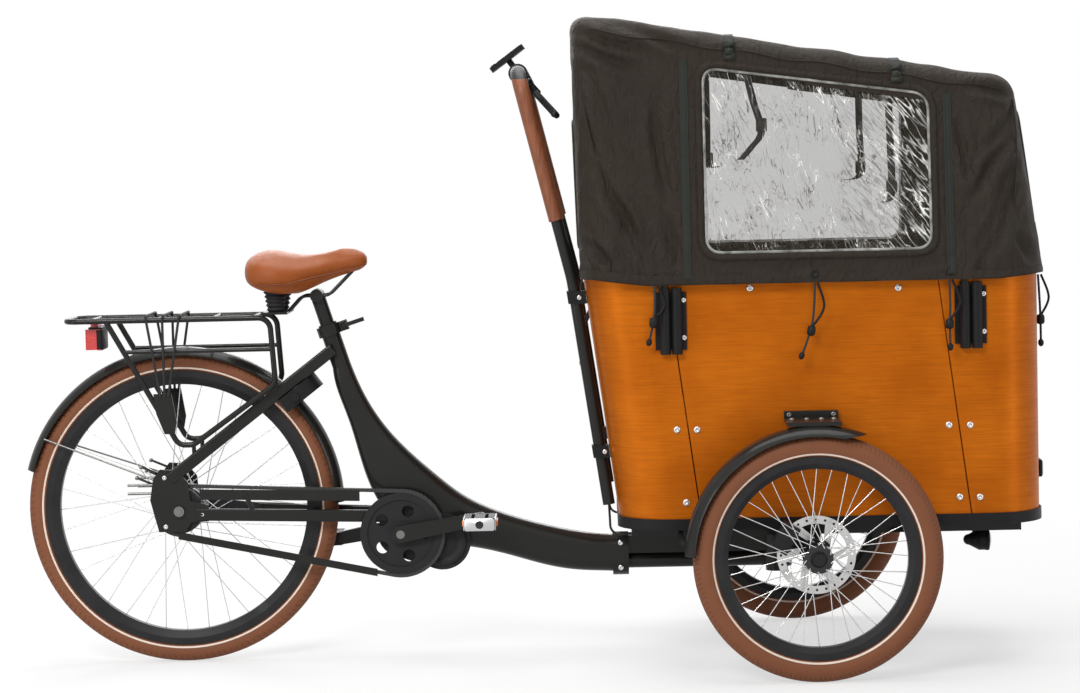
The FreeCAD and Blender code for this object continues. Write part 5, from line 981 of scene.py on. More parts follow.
def fold_height(spot, settings):
    """How far the cloth stands off its plain form: drawn folds, slack and crinkles."""
    place = spot - FORWARD * FRONT_X
    slack = noise.noise(place * SLACK_PACE)
    lean = noise.noise(LEAN_PACES @ place)
    crinkle = noise.noise(CRINKLE_PACES @ place)
    below_roof = risen(roof_z(spot.x) - spot.z, 0.0, ROOF_RUN)
    on_side = risen(abs(spot.y), SIDE_START, SIDE_RUN)
    folds = {
        "slack": slack,
        "lean": lean * below_roof,
        "tuck": noise.noise(TUCK_PACES @ place + TUCK_START) * (1 - below_roof),
        "drawn": drawn_creases(place.x, place.z, slack + LEAN_WANDER_SHARE * lean) * on_side,
    }
    height = settings.fold_depth * sum(FOLD_SHARES[kind] * fold for kind, fold in folds.items())
    return window_calm(*place) * (height + settings.crinkle_depth * crinkle * below_roof)


# How far the hem is drawn up at the tent's corners, how far up the wall that reaches, and where it starts
REAR_HEM_LIFT, FRONT_HEM_LIFT = 0.0135, 0.008
LIFT_REACH = 0.16
REAR_LIFT_START, REAR_LIFT_RUN = 0.33, 0.11
FRONT_LIFT_START, FRONT_LIFT_RUN = 0.38, 0.09


def hem_lift(spot):
    """How far a point of the tent rises with the drawn-up hem."""
    x = spot.x - FRONT_X
    rear = REAR_HEM_LIFT * risen(-x, REAR_LIFT_START, REAR_LIFT_RUN)
    front = FRONT_HEM_LIFT * risen(x, FRONT_LIFT_START, FRONT_LIFT_RUN)
    return (rear + front) * (1 - risen(spot.z, TENT["hem_z"], LIFT_REACH))


def in_window(spot):
    """Whether a point of the tent lies in one of its window openings."""
    x, y, z = spot.x - FRONT_X, abs(spot.y), spot.z
    if z >= roof_z(spot.x) - 2 * TENT["round"]:
        return False
    if WINDOW["back"] < x < WINDOW["front"] and y > TENT["roof_half"] * SIDE_WALL_SHARE:
        return WINDOW["low"] < z < window_top(x)
    at_end = x > TENT["roof_front"] - FRONT_OPENING_DEPTH or x < -TENT["hem_back"] + BACK_OPENING_DEPTH
    return at_end and y < END_WINDOW["half"] and END_WINDOW["low"] < z < END_WINDOW["high"]


class Skin:
    """The tent's outer surface, for pieces that lie on it."""

    tree = None
    OUTSIDE = 2.0

    @classmethod
    def reached(cls, start, inward):
        """The first point of the skin on a line, and the direction out of it."""
        spot, normal, _, _ = cls.tree.ray_cast(start, inward)
        return spot, (normal if normal.dot(inward) < 0 else -normal)

    @classmethod
    def from_side(cls, dx, z, side):
        return cls.reached(from_front(dx, side * cls.OUTSIDE, z), ACROSS * -side)

    @classmethod
    def from_end(cls, y, z, end):
        return cls.reached(from_front(end * cls.OUTSIDE, y, z), FORWARD * -end)

    @classmethod
    def from_top(cls, dx, y):
        return cls.reached(from_front(dx, y, cls.OUTSIDE), -UP)

    @classmethod
    def along_side(cls, run, side, lift):
        """A run of points on a side wall, lifted off it."""
        return [spot + normal * lift for spot, normal in (cls.from_side(dx, z, side) for dx, z in run)]


BINDING_WIDTH, BINDING_LIFT, BINDING_START = 0.016, 0.0035, -0.001
WELD_WIDTH, WELD_LIFT = 0.006, 0.0022
# Section of a strip round a window: share of its width, and of its lift
STRIP_SHARES = ((0.0, 0.0), (0.12, 1.0), (0.5, 1.25), (0.88, 1.0), (1.0, 0.0))
STRIP_SINK = 0.001
# Points round each corner of a window, and along each of its edges
BEND_STEPS, EDGE_STEPS = 7, 24
# The clear panes: columns and rows, place behind the cloth, and depth of their slack, waves and ripples
PANE_COLUMNS, PANE_ROWS = 60, 48
PANE_TUCK_SHARE = 0.4
PANE_BEHIND, PANE_SLACK, PANE_WAVES, PANE_RIPPLES = 0.0025, 0.004, 0.003, 0.0015
# How often the waves and ripples repeat along a pane and up it, and the layer of noise that each takes
WAVE_PACES, RIPPLE_PACES = Vector((20.0, 7.0, 3.0)), Vector((50.0, 18.0, 9.0))


def rounded_loop(corners, radius):
    """Points round a four-cornered outline with round corners, in flat coordinates."""
    spots = []
    for index, corner in enumerate(corners):
        corner = Vector(corner)
        back = Vector(corners[index - 1]) - corner
        ahead = Vector(corners[(index + 1) % len(corners)]) - corner
        entry = corner + back.normalized() * radius
        leave = corner + ahead.normalized() * radius
        for step in range(BEND_STEPS):
            share = step / (BEND_STEPS - 1)
            spots.append(entry * (1 - share) ** 2 + corner * 2 * share * (1 - share) + leave * share ** 2)
        following = corner + ahead - ahead.normalized() * radius
        spots.extend(leave + (following - leave) * (step / EDGE_STEPS) for step in range(1, EDGE_STEPS))
    return spots


def side_window_corners(grow):
    low = WINDOW["low"] - grow
    back, front = WINDOW["back"] - grow, WINDOW["front"] + grow
    return [(back, low), (front, low), (front, window_top(front) + grow), (back, window_top(back) + grow)]


def end_window_corners(grow):
    half = END_WINDOW["half"] + grow
    low, high = END_WINDOW["low"] - grow, END_WINDOW["high"] + grow
    return [(-half, low), (half, low), (half, high), (-half, high)]


def window_frames():
    """Each window as the corners it has when grown by a length, and the way onto the tent's skin."""
    frames = []
    for side in SIDES:
        frames.append((side_window_corners, lambda u, v, side=side: Skin.from_side(u, v, side)))
        frames.append((end_window_corners, lambda u, v, end=side: Skin.from_end(u, v, end)))
    return frames


def edge_strip(build, corners, onto, start, width, lift):
    """A raised strip that follows a window's outline on the cloth."""
    rows = []
    for share, height in STRIP_SHARES:
        grow = start + width * share
        spots = [onto(*spot) for spot in rounded_loop(corners(grow), WINDOW["corner"] + grow)]
        rows.append([on_skin + normal * (lift * height - STRIP_SINK) for on_skin, normal in spots])
    build.grid(rows, closed=True)


def pane_rows(corners, onto):
    """A slack clear sheet behind a window opening, creased between its edges."""
    (left, low), (right, _), (_, right_top), (_, left_top) = corners(BINDING_WIDTH * PANE_TUCK_SHARE)
    rows = []
    for level in range(PANE_ROWS + 1):
        up = level / PANE_ROWS
        row = []
        for column in range(PANE_COLUMNS + 1):
            along = column / PANE_COLUMNS
            u = left + (right - left) * along
            v = low + (left_top + (right_top - left_top) * along - low) * up
            on_skin, normal = onto(u, v)
            flat = Vector((u, v, 1.0))
            waves = PANE_WAVES * noise.noise(flat * WAVE_PACES)
            ripples = PANE_RIPPLES * noise.noise(flat * RIPPLE_PACES)
            slack = math.sin(math.pi * along) * math.sin(math.pi * up) * (PANE_SLACK + waves + ripples)
            row.append(on_skin - normal * (PANE_BEHIND + slack))
        rows.append(row)
    return rows


# Zips on each side wall, forward of the front axle, and the height of their upper ends
ZIPS = ((-0.249, 1.258), (0.285, 1.178))
ZIP_STEPS = 60
ZIP_FOOT = 0.012
# A zip's tape and teeth: how far they stand off the cloth, their width and thickness
ZIP_LAYERS = ((0.0012, 0.016, 0.0016), (0.0028, 0.005, 0.0022))
# Hem band: share of the way up the wall, and how far it stands off
HEM_PROFILE = ((0.004, 0.0012), (0.022, 0.0020), (0.040, 0.0012))
# Buckles on each side wall, forward of the front axle and up; their blocks: rise, half length, half width
BUCKLES = ((-0.154, 1.276), (0.184, 1.222))
BUCKLE_BLOCKS = ((0.012, 0.007, 0.013), (0, 0.010, 0.009), (-0.013, 0.006, 0.012))
BUCKLE_LIFT, BUCKLE_DEPTH, BUCKLE_CORNER = 0.003, 0.006, 0.003
# The straps that hold the buckles: section, place above the cloth, and points up the wall and over the roof
WEB_WIDTH, WEB_THICK, WEB_LIFT = 0.018, 0.0016, 0.002
WEB_CLIMB = (-0.010, 0.0, 0.010)
WEB_ROOF_HALF, WEB_ROOF_STEPS = 0.262, 8
# Seams of the end panels on a side wall, forward of the front axle and up
SEAM_RUNS = (
    ((-0.470, 1.285), (-0.451, 1.168), (-0.432, 1.078), (-0.411, 0.994), (-0.404, 0.835)),
    ((0.424, 1.165), (0.428, 1.070), (0.418, 0.950), (0.408, 0.812)),
)
SEAM_LIFT, SEAM_R, EDGE_SEAM_R, SEAM_SIDES = 0.0004, 0.0016, 0.0018, 6
# The roof edge's seam: ends forward of the front axle, points, drop below the roof, and its waver
EDGE_SEAM_BACK, EDGE_SEAM_LENGTH, EDGE_SEAM_STEPS = -0.44, 0.84, 60
EDGE_SEAM_DROP, EDGE_SEAM_WAVER, EDGE_SEAM_PACE = 0.030, 0.003, 40.0
# Eyelets along the hem, forward of the front axle, and their section: along and radius
EYELETS = (-0.316, 0.008, 0.280)
EYELET_RISE = 0.018
EYELET_PROFILE = ((-0.001, 0.009), (0.0016, 0.0085), (0.0022, 0.0065), (0.0012, 0.0045), (0.0004, 0.0040))
# Runs of the inner straps on each side, forward of the front axle and up
INNER_STRAPS = {
    -1: (
        ((-0.124, 1.262), (-0.106, 1.180), (-0.090, 1.116), (-0.112, 1.082), (-0.134, 1.058)),
        ((0.170, 1.215), (0.172, 1.100), (0.172, 0.985), (0.155, 0.965)),
    ),
    1: (
        ((-0.183, 1.262), (-0.182, 1.130), (-0.181, 1.045), (-0.160, 1.040)),
        ((0.152, 1.222), (0.154, 1.120), (0.156, 1.020), (0.126, 1.004)),
    ),
}
INNER_DEPTH, INNER_WIDTH, INNER_THICK = 0.035, 0.015, 0.0022
# Which point of its run holds a strap's clip, and how far above it the clip starts
CLIP_POINT, CLIP_RISE = 2, 0.012
# Sizes of a plate, here and below: half length, half width, depth and corner radius
INNER_CLIP = (0.014, 0.011, 0.007, 0.003)


class TRICYCLE_OT_tent(bpy.types.Operator):
    """Sew the tent: its cloth, windows, bindings, zips and hem"""

    bl_idname = "tricycle.tent"
    bl_label = "Sew the tent"

    def execute(self, context):
        cover, area = self.cover(look())
        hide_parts("tent_cover")
        sheets, sewn_on = self.windows()
        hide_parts("tent_windows")
        sewn_on += [*self.trim(), *self.seams(), *self.buckles(), self.inner_straps()]
        return {"FINISHED"}

    def cover(self, settings):
        """The folded cloth with its windows cut out, and its area."""
        build = Build()
        build.grid(tent_rows(), closed=True)
        mesh = build.mesh("tent_cloth_cover")
        sewn = bmesh.new()
        sewn.from_mesh(mesh)
        bmesh.ops.remove_doubles(sewn, verts=sewn.verts, dist=SEWN_GAP)
        bmesh.ops.recalc_face_normals(sewn, faces=sewn.faces)
        sewn.normal_update()
        moves = []
        for vert in sewn.verts:
            moves.append(vert.normal * fold_height(vert.co, settings) + UP * hem_lift(vert.co))
        for vert, move in zip(sewn.verts, moves):
            vert.co += move
        Skin.tree = BVHTree.FromBMesh(sewn)
        opened = [face for face in sewn.faces if in_window(face.calc_center_median())]
        bmesh.ops.delete(sewn, geom=opened, context="FACES")
        area = sum(face.calc_area() for face in sewn.faces)
        sewn.to_mesh(mesh)
        sewn.free()
        mesh.shade_smooth()
        return link(bpy.data.objects.new("tent_cloth_cover", mesh), "tent", cloth()), area

    def windows(self):
        """The clear panes, with the bindings round them and the milky welds inside those."""
        panes, bindings, welds = Build(), Build(), Build()
        for corners, onto in window_frames():
            panes.grid(pane_rows(corners, onto))
            edge_strip(bindings, corners, onto, BINDING_START, BINDING_WIDTH, BINDING_LIFT)
            edge_strip(welds, corners, onto, -WELD_WIDTH, WELD_WIDTH, WELD_LIFT)
        clear = finish("clear_sheet", clear_sheet)
        sheets = panes.piece("tent_window_sheets", "tent", clear, "clear_sheet")
        milky = finish("milky_edge", milky_edge)
        return sheets, [
            bindings.piece("tent_window_bindings", "tent", cloth(), "tent_cloth"),
            welds.piece("tent_window_welds", "tent", milky, "clear_sheet"),
        ]

    def trim(self):
        """Zips on the sides, and a turned hem."""
        zips, hem = Build(), Build()
        low_z = TENT["hem_z"] + ZIP_FOOT
        for side in SIDES:
            for dx, top_z in ZIPS:
                run = [(dx, low_z + (top_z - low_z) * step / ZIP_STEPS) for step in range(ZIP_STEPS + 1)]
                for lift, width, thick in ZIP_LAYERS:
                    zips.ribbon(Skin.along_side(run, side, lift), FORWARD, width, thick)
        rows = [tent_row(share, -bulge, 0) for share, bulge in HEM_PROFILE]
        hem.grid([[spot + UP * hem_lift(spot) for spot in row] for row in rows], closed=True)
        return [
            zips.piece("tent_zips", "tent", finish("zip_tape", zip_tape), "tent_cloth", smooth=False),
            hem.piece("tent_hem_band", "tent", cloth(), "tent_cloth"),
        ]

    def seams(self):
        """Sewn seams at the end panels' joins and along the roof's edge, and the hem's eyelets."""
        seams, rings = Build(), Build()
        edge = []
        for step in range(EDGE_SEAM_STEPS + 1):
            dx = EDGE_SEAM_BACK + EDGE_SEAM_LENGTH * step / EDGE_SEAM_STEPS
            waver = EDGE_SEAM_WAVER * math.sin(dx * EDGE_SEAM_PACE)
            edge.append((dx, roof_z(FRONT_X + dx) - EDGE_SEAM_DROP + waver))
        for side in SIDES:
            for run in SEAM_RUNS:
                spots = smooth_run(Skin.along_side(run, side, SEAM_LIFT), steps=10)
                seams.tube(spots, SEAM_R, SEAM_SIDES)
            seams.tube(Skin.along_side(edge, side, SEAM_LIFT), EDGE_SEAM_R, SEAM_SIDES)
            for dx in EYELETS:
                spot, normal = Skin.from_side(dx, TENT["hem_z"] + EYELET_RISE, side)
                rings.lathe(spot, normal, EYELET_PROFILE, segments=18)
        return [
            seams.piece("tent_seams", "tent", cloth(), "tent_cloth"),
            rings.piece("tent_eyelets", "tent", plastic_black(), "plastic_black"),
        ]

    def buckles(self):
        """Clip buckles below the roof's edge on both sides, on straps that run over the roof."""
        clips, webs = Build(), Build()
        for side in SIDES:
            for dx, z in BUCKLES:
                spot, normal = Skin.from_side(dx, z, side)
                upward = (UP - normal * UP.dot(normal)).normalized()
                across = upward.cross(normal)
                seat = spot + normal * BUCKLE_LIFT
                for rise, half_long, half_wide in BUCKLE_BLOCKS:
                    sizes = (half_long, half_wide, BUCKLE_DEPTH, BUCKLE_CORNER)
                    clips.slab(seat + upward * rise, upward, across, *sizes)
                points = [Skin.from_side(dx, z + climb, side) for climb in WEB_CLIMB]
                shares = [1 - step / WEB_ROOF_STEPS for step in range(WEB_ROOF_STEPS + 1)]
                points += [Skin.from_top(dx, side * WEB_ROOF_HALF * share) for share in shares]
                webs.ribbon([at + out * WEB_LIFT for at, out in points], FORWARD, WEB_WIDTH, WEB_THICK)
        green = finish("buckle_green", moulded_plastic, (0.016, 0.018, 0.014))
        return [
            clips.piece("tent_buckles", "tent", green, "plastic_black"),
            webs.piece("tent_buckle_webbing", "tent", strap_web(), "rubber_black", smooth=False),
        ]

    def inner_straps(self):
        """Straps that hang inside the tent, each with a clip and a spare end."""
        straps = Build()
        for side, runs in INNER_STRAPS.items():
            for run in runs:
                spots = Skin.along_side(run, side, -INNER_DEPTH)
                straps.ribbon(smooth_run(spots), FORWARD, INNER_WIDTH, INNER_THICK)
                straps.slab(spots[CLIP_POINT] + UP * CLIP_RISE, -UP, FORWARD, *INNER_CLIP)
        return straps.piece("tent_inner_straps", "tent", strap_web(), "rubber_black")


# Cords

CORD_DIAMETER = 0.005
# Hanging cords: the routes of the source, forward of the front axle, sideways and up
CORD_ROUTES = {
    "side_rear": (
        (-0.316, -0.3365, 0.8026), (-0.316, -0.3385, 0.764),
        (-0.32, -0.339, 0.727), (-0.329, -0.34, 0.692),
    ),
    "side_middle": (
        (0.008, -0.3365, 0.8026), (0.007, -0.3385, 0.753),
        (-0.001, -0.34, 0.704), (-0.02, -0.341, 0.658),
    ),
    "side_front": (
        (0.28, -0.3365, 0.8026), (0.282, -0.3385, 0.757),
        (0.279, -0.34, 0.712), (0.28, -0.341, 0.67),
    ),
    "front": (
        (0.4795, -0.19, 0.8026), (0.482, -0.192, 0.755),
        (0.484, -0.19, 0.708), (0.484, -0.191, 0.664),
    ),
    "rear": (
        (-0.4655, -0.12, 0.8026), (-0.467, -0.121, 0.747),
        (-0.468, -0.119, 0.692), (-0.468, -0.12, 0.638),
    ),
}
CORD_LENGTHS = {
    "side_rear": 0.1119, "side_middle": 0.1488, "side_front": 0.1328, "front": 0.1388, "rear": 0.1647,
}
# How far ahead of the cord its other strand starts and bulges, and how far before the grip it ends
STRAND_START, STRAND_BULGE, STRAND_END = 0.006, 0.019, 0.008
# Sections of a cord's sprung barrel and knot: along and radius; and how far each starts before its point
BARREL = ((0, 0.0032), (0.001, 0.0065), (0.005, 0.0085), (0.016, 0.0085), (0.020, 0.0065), (0.021, 0.0032))
KNOT = ((0, 0.0028), (0.003, 0.0055), (0.008, 0.0062), (0.013, 0.0045), (0.015, 0.0018))
BARREL_BEFORE, KNOT_BEFORE = 0.012, 0.004


class TRICYCLE_OT_cords(bpy.types.Operator):
    """Hang the toggle cords from the tent's hem"""

    bl_idname = "tricycle.cords"
    bl_label = "Hang the cords"

    def execute(self, context):
        for name, route in CORD_ROUTES.items():
            for side in SIDES:
                self.hang(name + "_" + SIDE_NAMES[side], route, CORD_LENGTHS[name], side)
        return {"FINISHED"}

    def hang(self, name, route, length, side):
        """One cord along its route, with its toggle."""
        points = [mirrored(from_front(*spot), side) for spot in route]
        curve = bpy.data.curves.new("cord_" + name, "CURVE")
        curve.dimensions = "3D"
        curve.bevel_depth = CORD_DIAMETER / 2
        curve.bevel_resolution = 3
        curve.use_fill_caps = True
        spline = curve.splines.new("NURBS")
        spline.points.add(len(points) - 1)
        for control, spot in zip(spline.points, points):
            control.co = (*spot, 1.0)
        spline.order_u = 3
        spline.use_endpoint_u = True
        cord = link(bpy.data.objects.new("cord_" + name, curve), "tent", strap_web())
        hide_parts("tent_cords")
        toggle = self.toggle(name, points)

    def toggle(self, name, points):
        """The cord's other strand, the sprung barrel that grips both, and the knotted end."""
        build = Build()
        hem, bend, grip, end = points
        along, tail = (grip - bend).normalized(), (end - grip).normalized()
        strand = [hem + FORWARD * STRAND_START, bend + FORWARD * STRAND_BULGE, grip - along * STRAND_END]
        build.tube(smooth_run(strand), CORD_DIAMETER / 2, sides=8)
        build.lathe(grip - along * BARREL_BEFORE, along, BARREL, segments=16)
        build.lathe(end - tail * KNOT_BEFORE, tail, KNOT, segments=12)
        return build.piece("cord_toggle_" + name, "tent", plastic_black(), "plastic_black")


# Saddle

VOXEL_SIZE = 0.005
RELAX_SHARE, RELAX_STEPS = 0.5, 6
LEATHER_STRETCH, LEATHER_BEND = 40.0, 4.0
SWELL_FRAMES = 20
# The seam's run: first share of the saddle's length, share covered, and points
SEAM_FIRST_SHARE, SEAM_RUN_SHARE, SEAM_STEPS = 0.12, 0.82, 40
# Its height as shares of the saddle's: low at the back, rising from a share of the length over another
SEAM_LOW_SHARE, SEAM_CLIMB_SHARE, CLIMB_FROM_SHARE, CLIMB_OVER_SHARE = 0.24, 0.36, 0.35, 0.6
SADDLE_SEAM_LIFT, SADDLE_SEAM_R = 0.0035, 0.0016
BESIDE_SADDLE = 0.3


class TRICYCLE_OT_saddle(bpy.types.Operator):
    """Pad the saddle: blow its leather up a little over the foam"""

    bl_idname = "tricycle.saddle"
    bl_label = "Pad the saddle"

    def execute(self, context):
        pad = bpy.data.objects.new("saddle_leather_pad", NODES["saddle_pad"].data.copy())
        tan = finish("leather_tan", leather, tuple(look().leather_colour))
        link(pad, "saddle", tan)
        self.remesh(pad)
        self.inflate(context, pad, look())
        smooth = pad.modifiers.new("smooth", "SUBSURF")
        smooth.levels = smooth.render_levels = 1
        self.keep(pad)
        pad.data.shade_smooth()
        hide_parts("saddle_pad")
        self.seam()
        return {"FINISHED"}

    def keep(self, pad):
        """Make a modified shape the mesh's own."""
        graph = bpy.context.evaluated_depsgraph_get()
        shaped = bpy.data.meshes.new_from_object(pad.evaluated_get(graph))
        pad.modifiers.clear()
        pad.data = shaped

    def remesh(self, pad):
        """Even, softened facets that the leather's swelling can move."""
        voxels = pad.modifiers.new("voxels", "REMESH")
        voxels.mode = "VOXEL"
        voxels.voxel_size = VOXEL_SIZE
        relax = pad.modifiers.new("relax", "SMOOTH")
        relax.factor = RELAX_SHARE
        relax.iterations = RELAX_STEPS
        self.keep(pad)

    def inflate(self, context, pad, settings):
        """Swell the leather as a cloth under pressure, up to the largest rise."""
        before = [vert.co.copy() for vert in pad.data.vertices]
        swelling = pad.modifiers.new("cloth", "CLOTH")
        swelling.settings.use_pressure = True
        swelling.settings.uniform_pressure_force = settings.saddle_pressure
        swelling.settings.effector_weights.gravity = 0.0
        swelling.settings.tension_stiffness = LEATHER_STRETCH
        swelling.settings.bending_stiffness = LEATHER_BEND
        swelling.point_cache.frame_start = 1
        swelling.point_cache.frame_end = SWELL_FRAMES
        for step in range(1, SWELL_FRAMES + 1):
            context.scene.frame_set(step)
        self.keep(pad)
        for vert, rest in zip(pad.data.vertices, before):
            move = vert.co - rest
            if move.length > settings.saddle_swell:
                vert.co = rest + move.normalized() * settings.saddle_swell
        context.scene.frame_set(1)

    def seam(self):
        """The sewn edge below the cushion."""
        low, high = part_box("saddle_pad")
        form = NODES["saddle_pad"].data
        corners = [vert.co.copy() for vert in form.vertices]
        tree = BVHTree.FromPolygons(corners, [tuple(face.vertices) for face in form.polygons])
        build = Build()
        for side in SIDES:
            spots = []
            for step in range(SEAM_STEPS + 1):
                share = SEAM_FIRST_SHARE + SEAM_RUN_SHARE * step / SEAM_STEPS
                climb = SEAM_CLIMB_SHARE * max(0.0, share - CLIMB_FROM_SHARE) / CLIMB_OVER_SHARE
                x = low.x + (high.x - low.x) * share
                z = low.z + (high.z - low.z) * (SEAM_LOW_SHARE + climb)
                hit, normal, _, _ = tree.ray_cast(Vector((x, side * BESIDE_SADDLE, z)), ACROSS * -side)
                if hit:
                    spots.append(hit + normal * SADDLE_SEAM_LIFT)
            build.tube(smooth_run(spots, steps=3), SADDLE_SEAM_R, sides=8)
        tan = finish("leather_seam", leather, (0.150, 0.036, 0.008))
        build.piece("saddle_seam", "saddle", tan, "leather_tan")


# Bolts

BOX_HALF = 0.310
# Bolts on the box's sides, forward of the front axle and up
PANEL_BOLTS = (
    (-0.276, 0.507), (-0.235, 0.506), (-0.122, 0.793), (0.179, 0.787), (0.278, 0.505),
    (0.321, 0.504), (0.298, 0.357), (0.339, 0.356), (-0.260, 0.357), (-0.205, 0.356),
)
SOCKET_BOLTS = tuple((dx, z) for dx in (-0.258, 0.351) for z in (0.695, 0.772))
SOCKET_FACE_Y = BOX_HALF + 0.0043
# Bolts of the handlebar's clamps, forward of the front axle and up
CLAMP_BOLTS = ((-0.470, 0.777), (-0.424, 0.456))
CLAMP_FACE_Y = 0.221
# Bolts of the joint collar and the dropouts, forward of the rear axle and up
COLLAR_BOLTS = ((0.937, 0.188), (0.937, 0.241))
COLLAR_FACE_Y = 0.036
DROPOUT_BOLTS = ((-0.030, 0.300), (0.048, 0.325), (-0.030, 0.405))
# Bolts on top of the wheels' brackets and through their upright plates, forward of the front axle
BRACKET_TOP_BOLTS = (-0.045, -0.015, 0.015, 0.040)
BRACKET_TOP_Y, BRACKET_TOP_Z = 0.360, 0.5272
BRACKET_SIDE_BOLTS = (-0.048, 0.042)
BRACKET_SIDE_Y, BRACKET_SIDE_Z = 0.3243, 0.5335
MEDIUM_BOLT_R, SMALL_BOLT_R = 0.006, 0.0055
# Section of a domed bolt: along, and share of its radius
DOME_SECTION = (
    (-0.001, 1.0), (0.0012, 1.0), (0.0030, 0.82), (0.0036, 0.5), (0.0034, 0.42), (0.0014, 0.40),
    (0.0012, 0.05),
)


def dome(build, spot, axis, radius):
    """A domed bolt with a socket in its head."""
    profile = [(along, radius * share) for along, share in DOME_SECTION]
    build.lathe(spot, axis, profile, segments=18)


class TRICYCLE_OT_bolts(bpy.types.Operator):
    """Fit the bolts of the box, the pole sockets, the frame and the wheels' brackets"""

    bl_idname = "tricycle.bolts"
    bl_label = "Fit the bolts"

    def execute(self, context):
        box, sockets, joints, clamps, brackets = (Build() for _ in range(5))
        dropout_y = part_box("dropouts")[1].y
        for side in SIDES:
            self.row(box, from_front, PANEL_BOLTS, BOX_HALF, side, look().bolt_radius)
            self.row(sockets, from_front, SOCKET_BOLTS, SOCKET_FACE_Y, side, MEDIUM_BOLT_R)
            self.row(joints, from_rear, COLLAR_BOLTS, COLLAR_FACE_Y, side, MEDIUM_BOLT_R)
            self.row(joints, from_rear, DROPOUT_BOLTS, dropout_y, side, SMALL_BOLT_R)
            self.row(clamps, from_front, CLAMP_BOLTS, CLAMP_FACE_Y, side, SMALL_BOLT_R)
            for dx in BRACKET_TOP_BOLTS:
                dome(brackets, from_front(dx, side * BRACKET_TOP_Y, BRACKET_TOP_Z), UP, MEDIUM_BOLT_R)
            plate = [(dx, BRACKET_SIDE_Z) for dx in BRACKET_SIDE_BOLTS]
            self.row(brackets, from_front, plate, BRACKET_SIDE_Y, side, SMALL_BOLT_R)
        box.piece("box_bolts", "front", bright_steel(), "bright_steel")
        sockets.piece("socket_bolts", "front", bright_steel(), "bright_steel")
        joints.piece("frame_bolts", "rear_frame", bright_steel(), "bright_steel")
        clamps.piece("clamp_bolts", "front", bright_steel(), "bright_steel")
        brackets.piece("bracket_bolts", "front", dark_steel(), "bright_steel")
        return {"FINISHED"}

    def row(self, build, measured, places, face_y, side, radius):
        """Bolts that stand out of a face on one side."""
        for dx, z in places:
            dome(build, measured(dx, side * face_y, z), ACROSS * side, radius)


# Lamps and reflectors

REFLECTOR_Y, REFLECTOR_Z = 0.170, 0.400
REFLECTOR_CASE, REFLECTOR_FACE = (0.030, 0.018, 0.009, 0.005), (0.026, 0.014, 0.002, 0.004)
REFLECTOR_FACE_LIFT = 0.0088
# The tail lamp's ear and case, and their places in the lamp's box
TAIL_EAR, TAIL_CASE = (0.015, 0.040, 0.004, 0.004), (0.0392, 0.0232, 0.0122, 0.006)
TAIL_TOP_DROP, TAIL_EAR_LIFT, TAIL_EAR_AHEAD, TAIL_CASE_DEPTH = 0.014, 0.0006, 0.004, 0.010
# Sections of the headlamp's bezel and lens: along and radius
HEADLAMP_Z = 0.228
BEZEL = ((-0.006, 0.0236), (0, 0.0242), (0.0025, 0.0232), (0.0025, 0.0205))
HEAD_LENS = ((0.0002, 0.0204), (0.003, 0.0195), (0.006, 0.014), (0.0074, 0.006), (0.0076, 0.001))


class TRICYCLE_OT_lights(bpy.types.Operator):
    """Fit the front reflectors, the tail lamp's case and the headlamp's lens"""

    bl_idname = "tricycle.lights"
    bl_label = "Fit the lamps and reflectors"

    def execute(self, context):
        self.reflectors()
        self.tail_lamp()
        self.head_lens()
        return {"FINISHED"}

    def reflectors(self):
        """A pair of pale reflectors on the front panel, in dark frames."""
        cases, faces = Build(), Build()
        face_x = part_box("box_end_panels")[1].x
        for side in SIDES:
            seat = Vector((face_x, side * REFLECTOR_Y, REFLECTOR_Z))
            cases.slab(seat, ACROSS, UP, *REFLECTOR_CASE)
            faces.slab(seat + FORWARD * REFLECTOR_FACE_LIFT, ACROSS, UP, *REFLECTOR_FACE)
        cases.piece("front_reflector_cases", "front", plastic_black(), "plastic_black")
        clear = finish("lens_clear", lens_plastic, (0.62, 0.62, 0.60))
        faces.piece("front_reflectors", "front", clear, "clear_sheet")

    def tail_lamp(self):
        """The dark case behind the red lens, with its mounting ear."""
        low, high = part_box("tail_light")
        top = high.z - TAIL_TOP_DROP
        ear = Vector(((low.x + high.x) / 2 + TAIL_EAR_AHEAD, 0, top + TAIL_EAR_LIFT))
        case = Vector((high.x - TAIL_CASE_DEPTH, 0, (low.z + top) / 2))
        build = Build()
        build.slab(ear, FORWARD, ACROSS, *TAIL_EAR)
        build.slab(case, ACROSS, UP, *TAIL_CASE)
        build.piece("tail_lamp_case", "rear_frame", plastic_black(), "plastic_black")

    def head_lens(self):
        """The lamp's bezel and its domed lens."""
        centre = Vector((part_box("headlamp")[1].x, 0, HEADLAMP_Z))
        bezel, lens = Build(), Build()
        bezel.lathe(centre, FORWARD, BEZEL, segments=32)
        bezel.piece("headlamp_bezel", "front", plastic_black(), "plastic_black")
        lens.lathe(centre, FORWARD, HEAD_LENS, segments=32)
        white = finish("lens_white", lens_plastic, (0.70, 0.72, 0.74))
        lens.piece("headlamp_lens", "front", white, "clear_sheet")


# Pedals

CAGE_DEPTH, CAGE_END_DEPTH, CAGE_CORNER = 0.0022, 0.002, 0.005
AMBER_LONG_SHARE, AMBER_WIDE_SHARE, AMBER_DEPTH, AMBER_CORNER = 0.52, 0.48, 0.003, 0.003
# Section of the dark disc in a pedal's end, painted shade where its hole is: along and radius
PEDAL_HOLE = ((0, 0.0085), (0.0008, 0.0082), (0.0004, 0.0060), (0.0002, 0.0005))


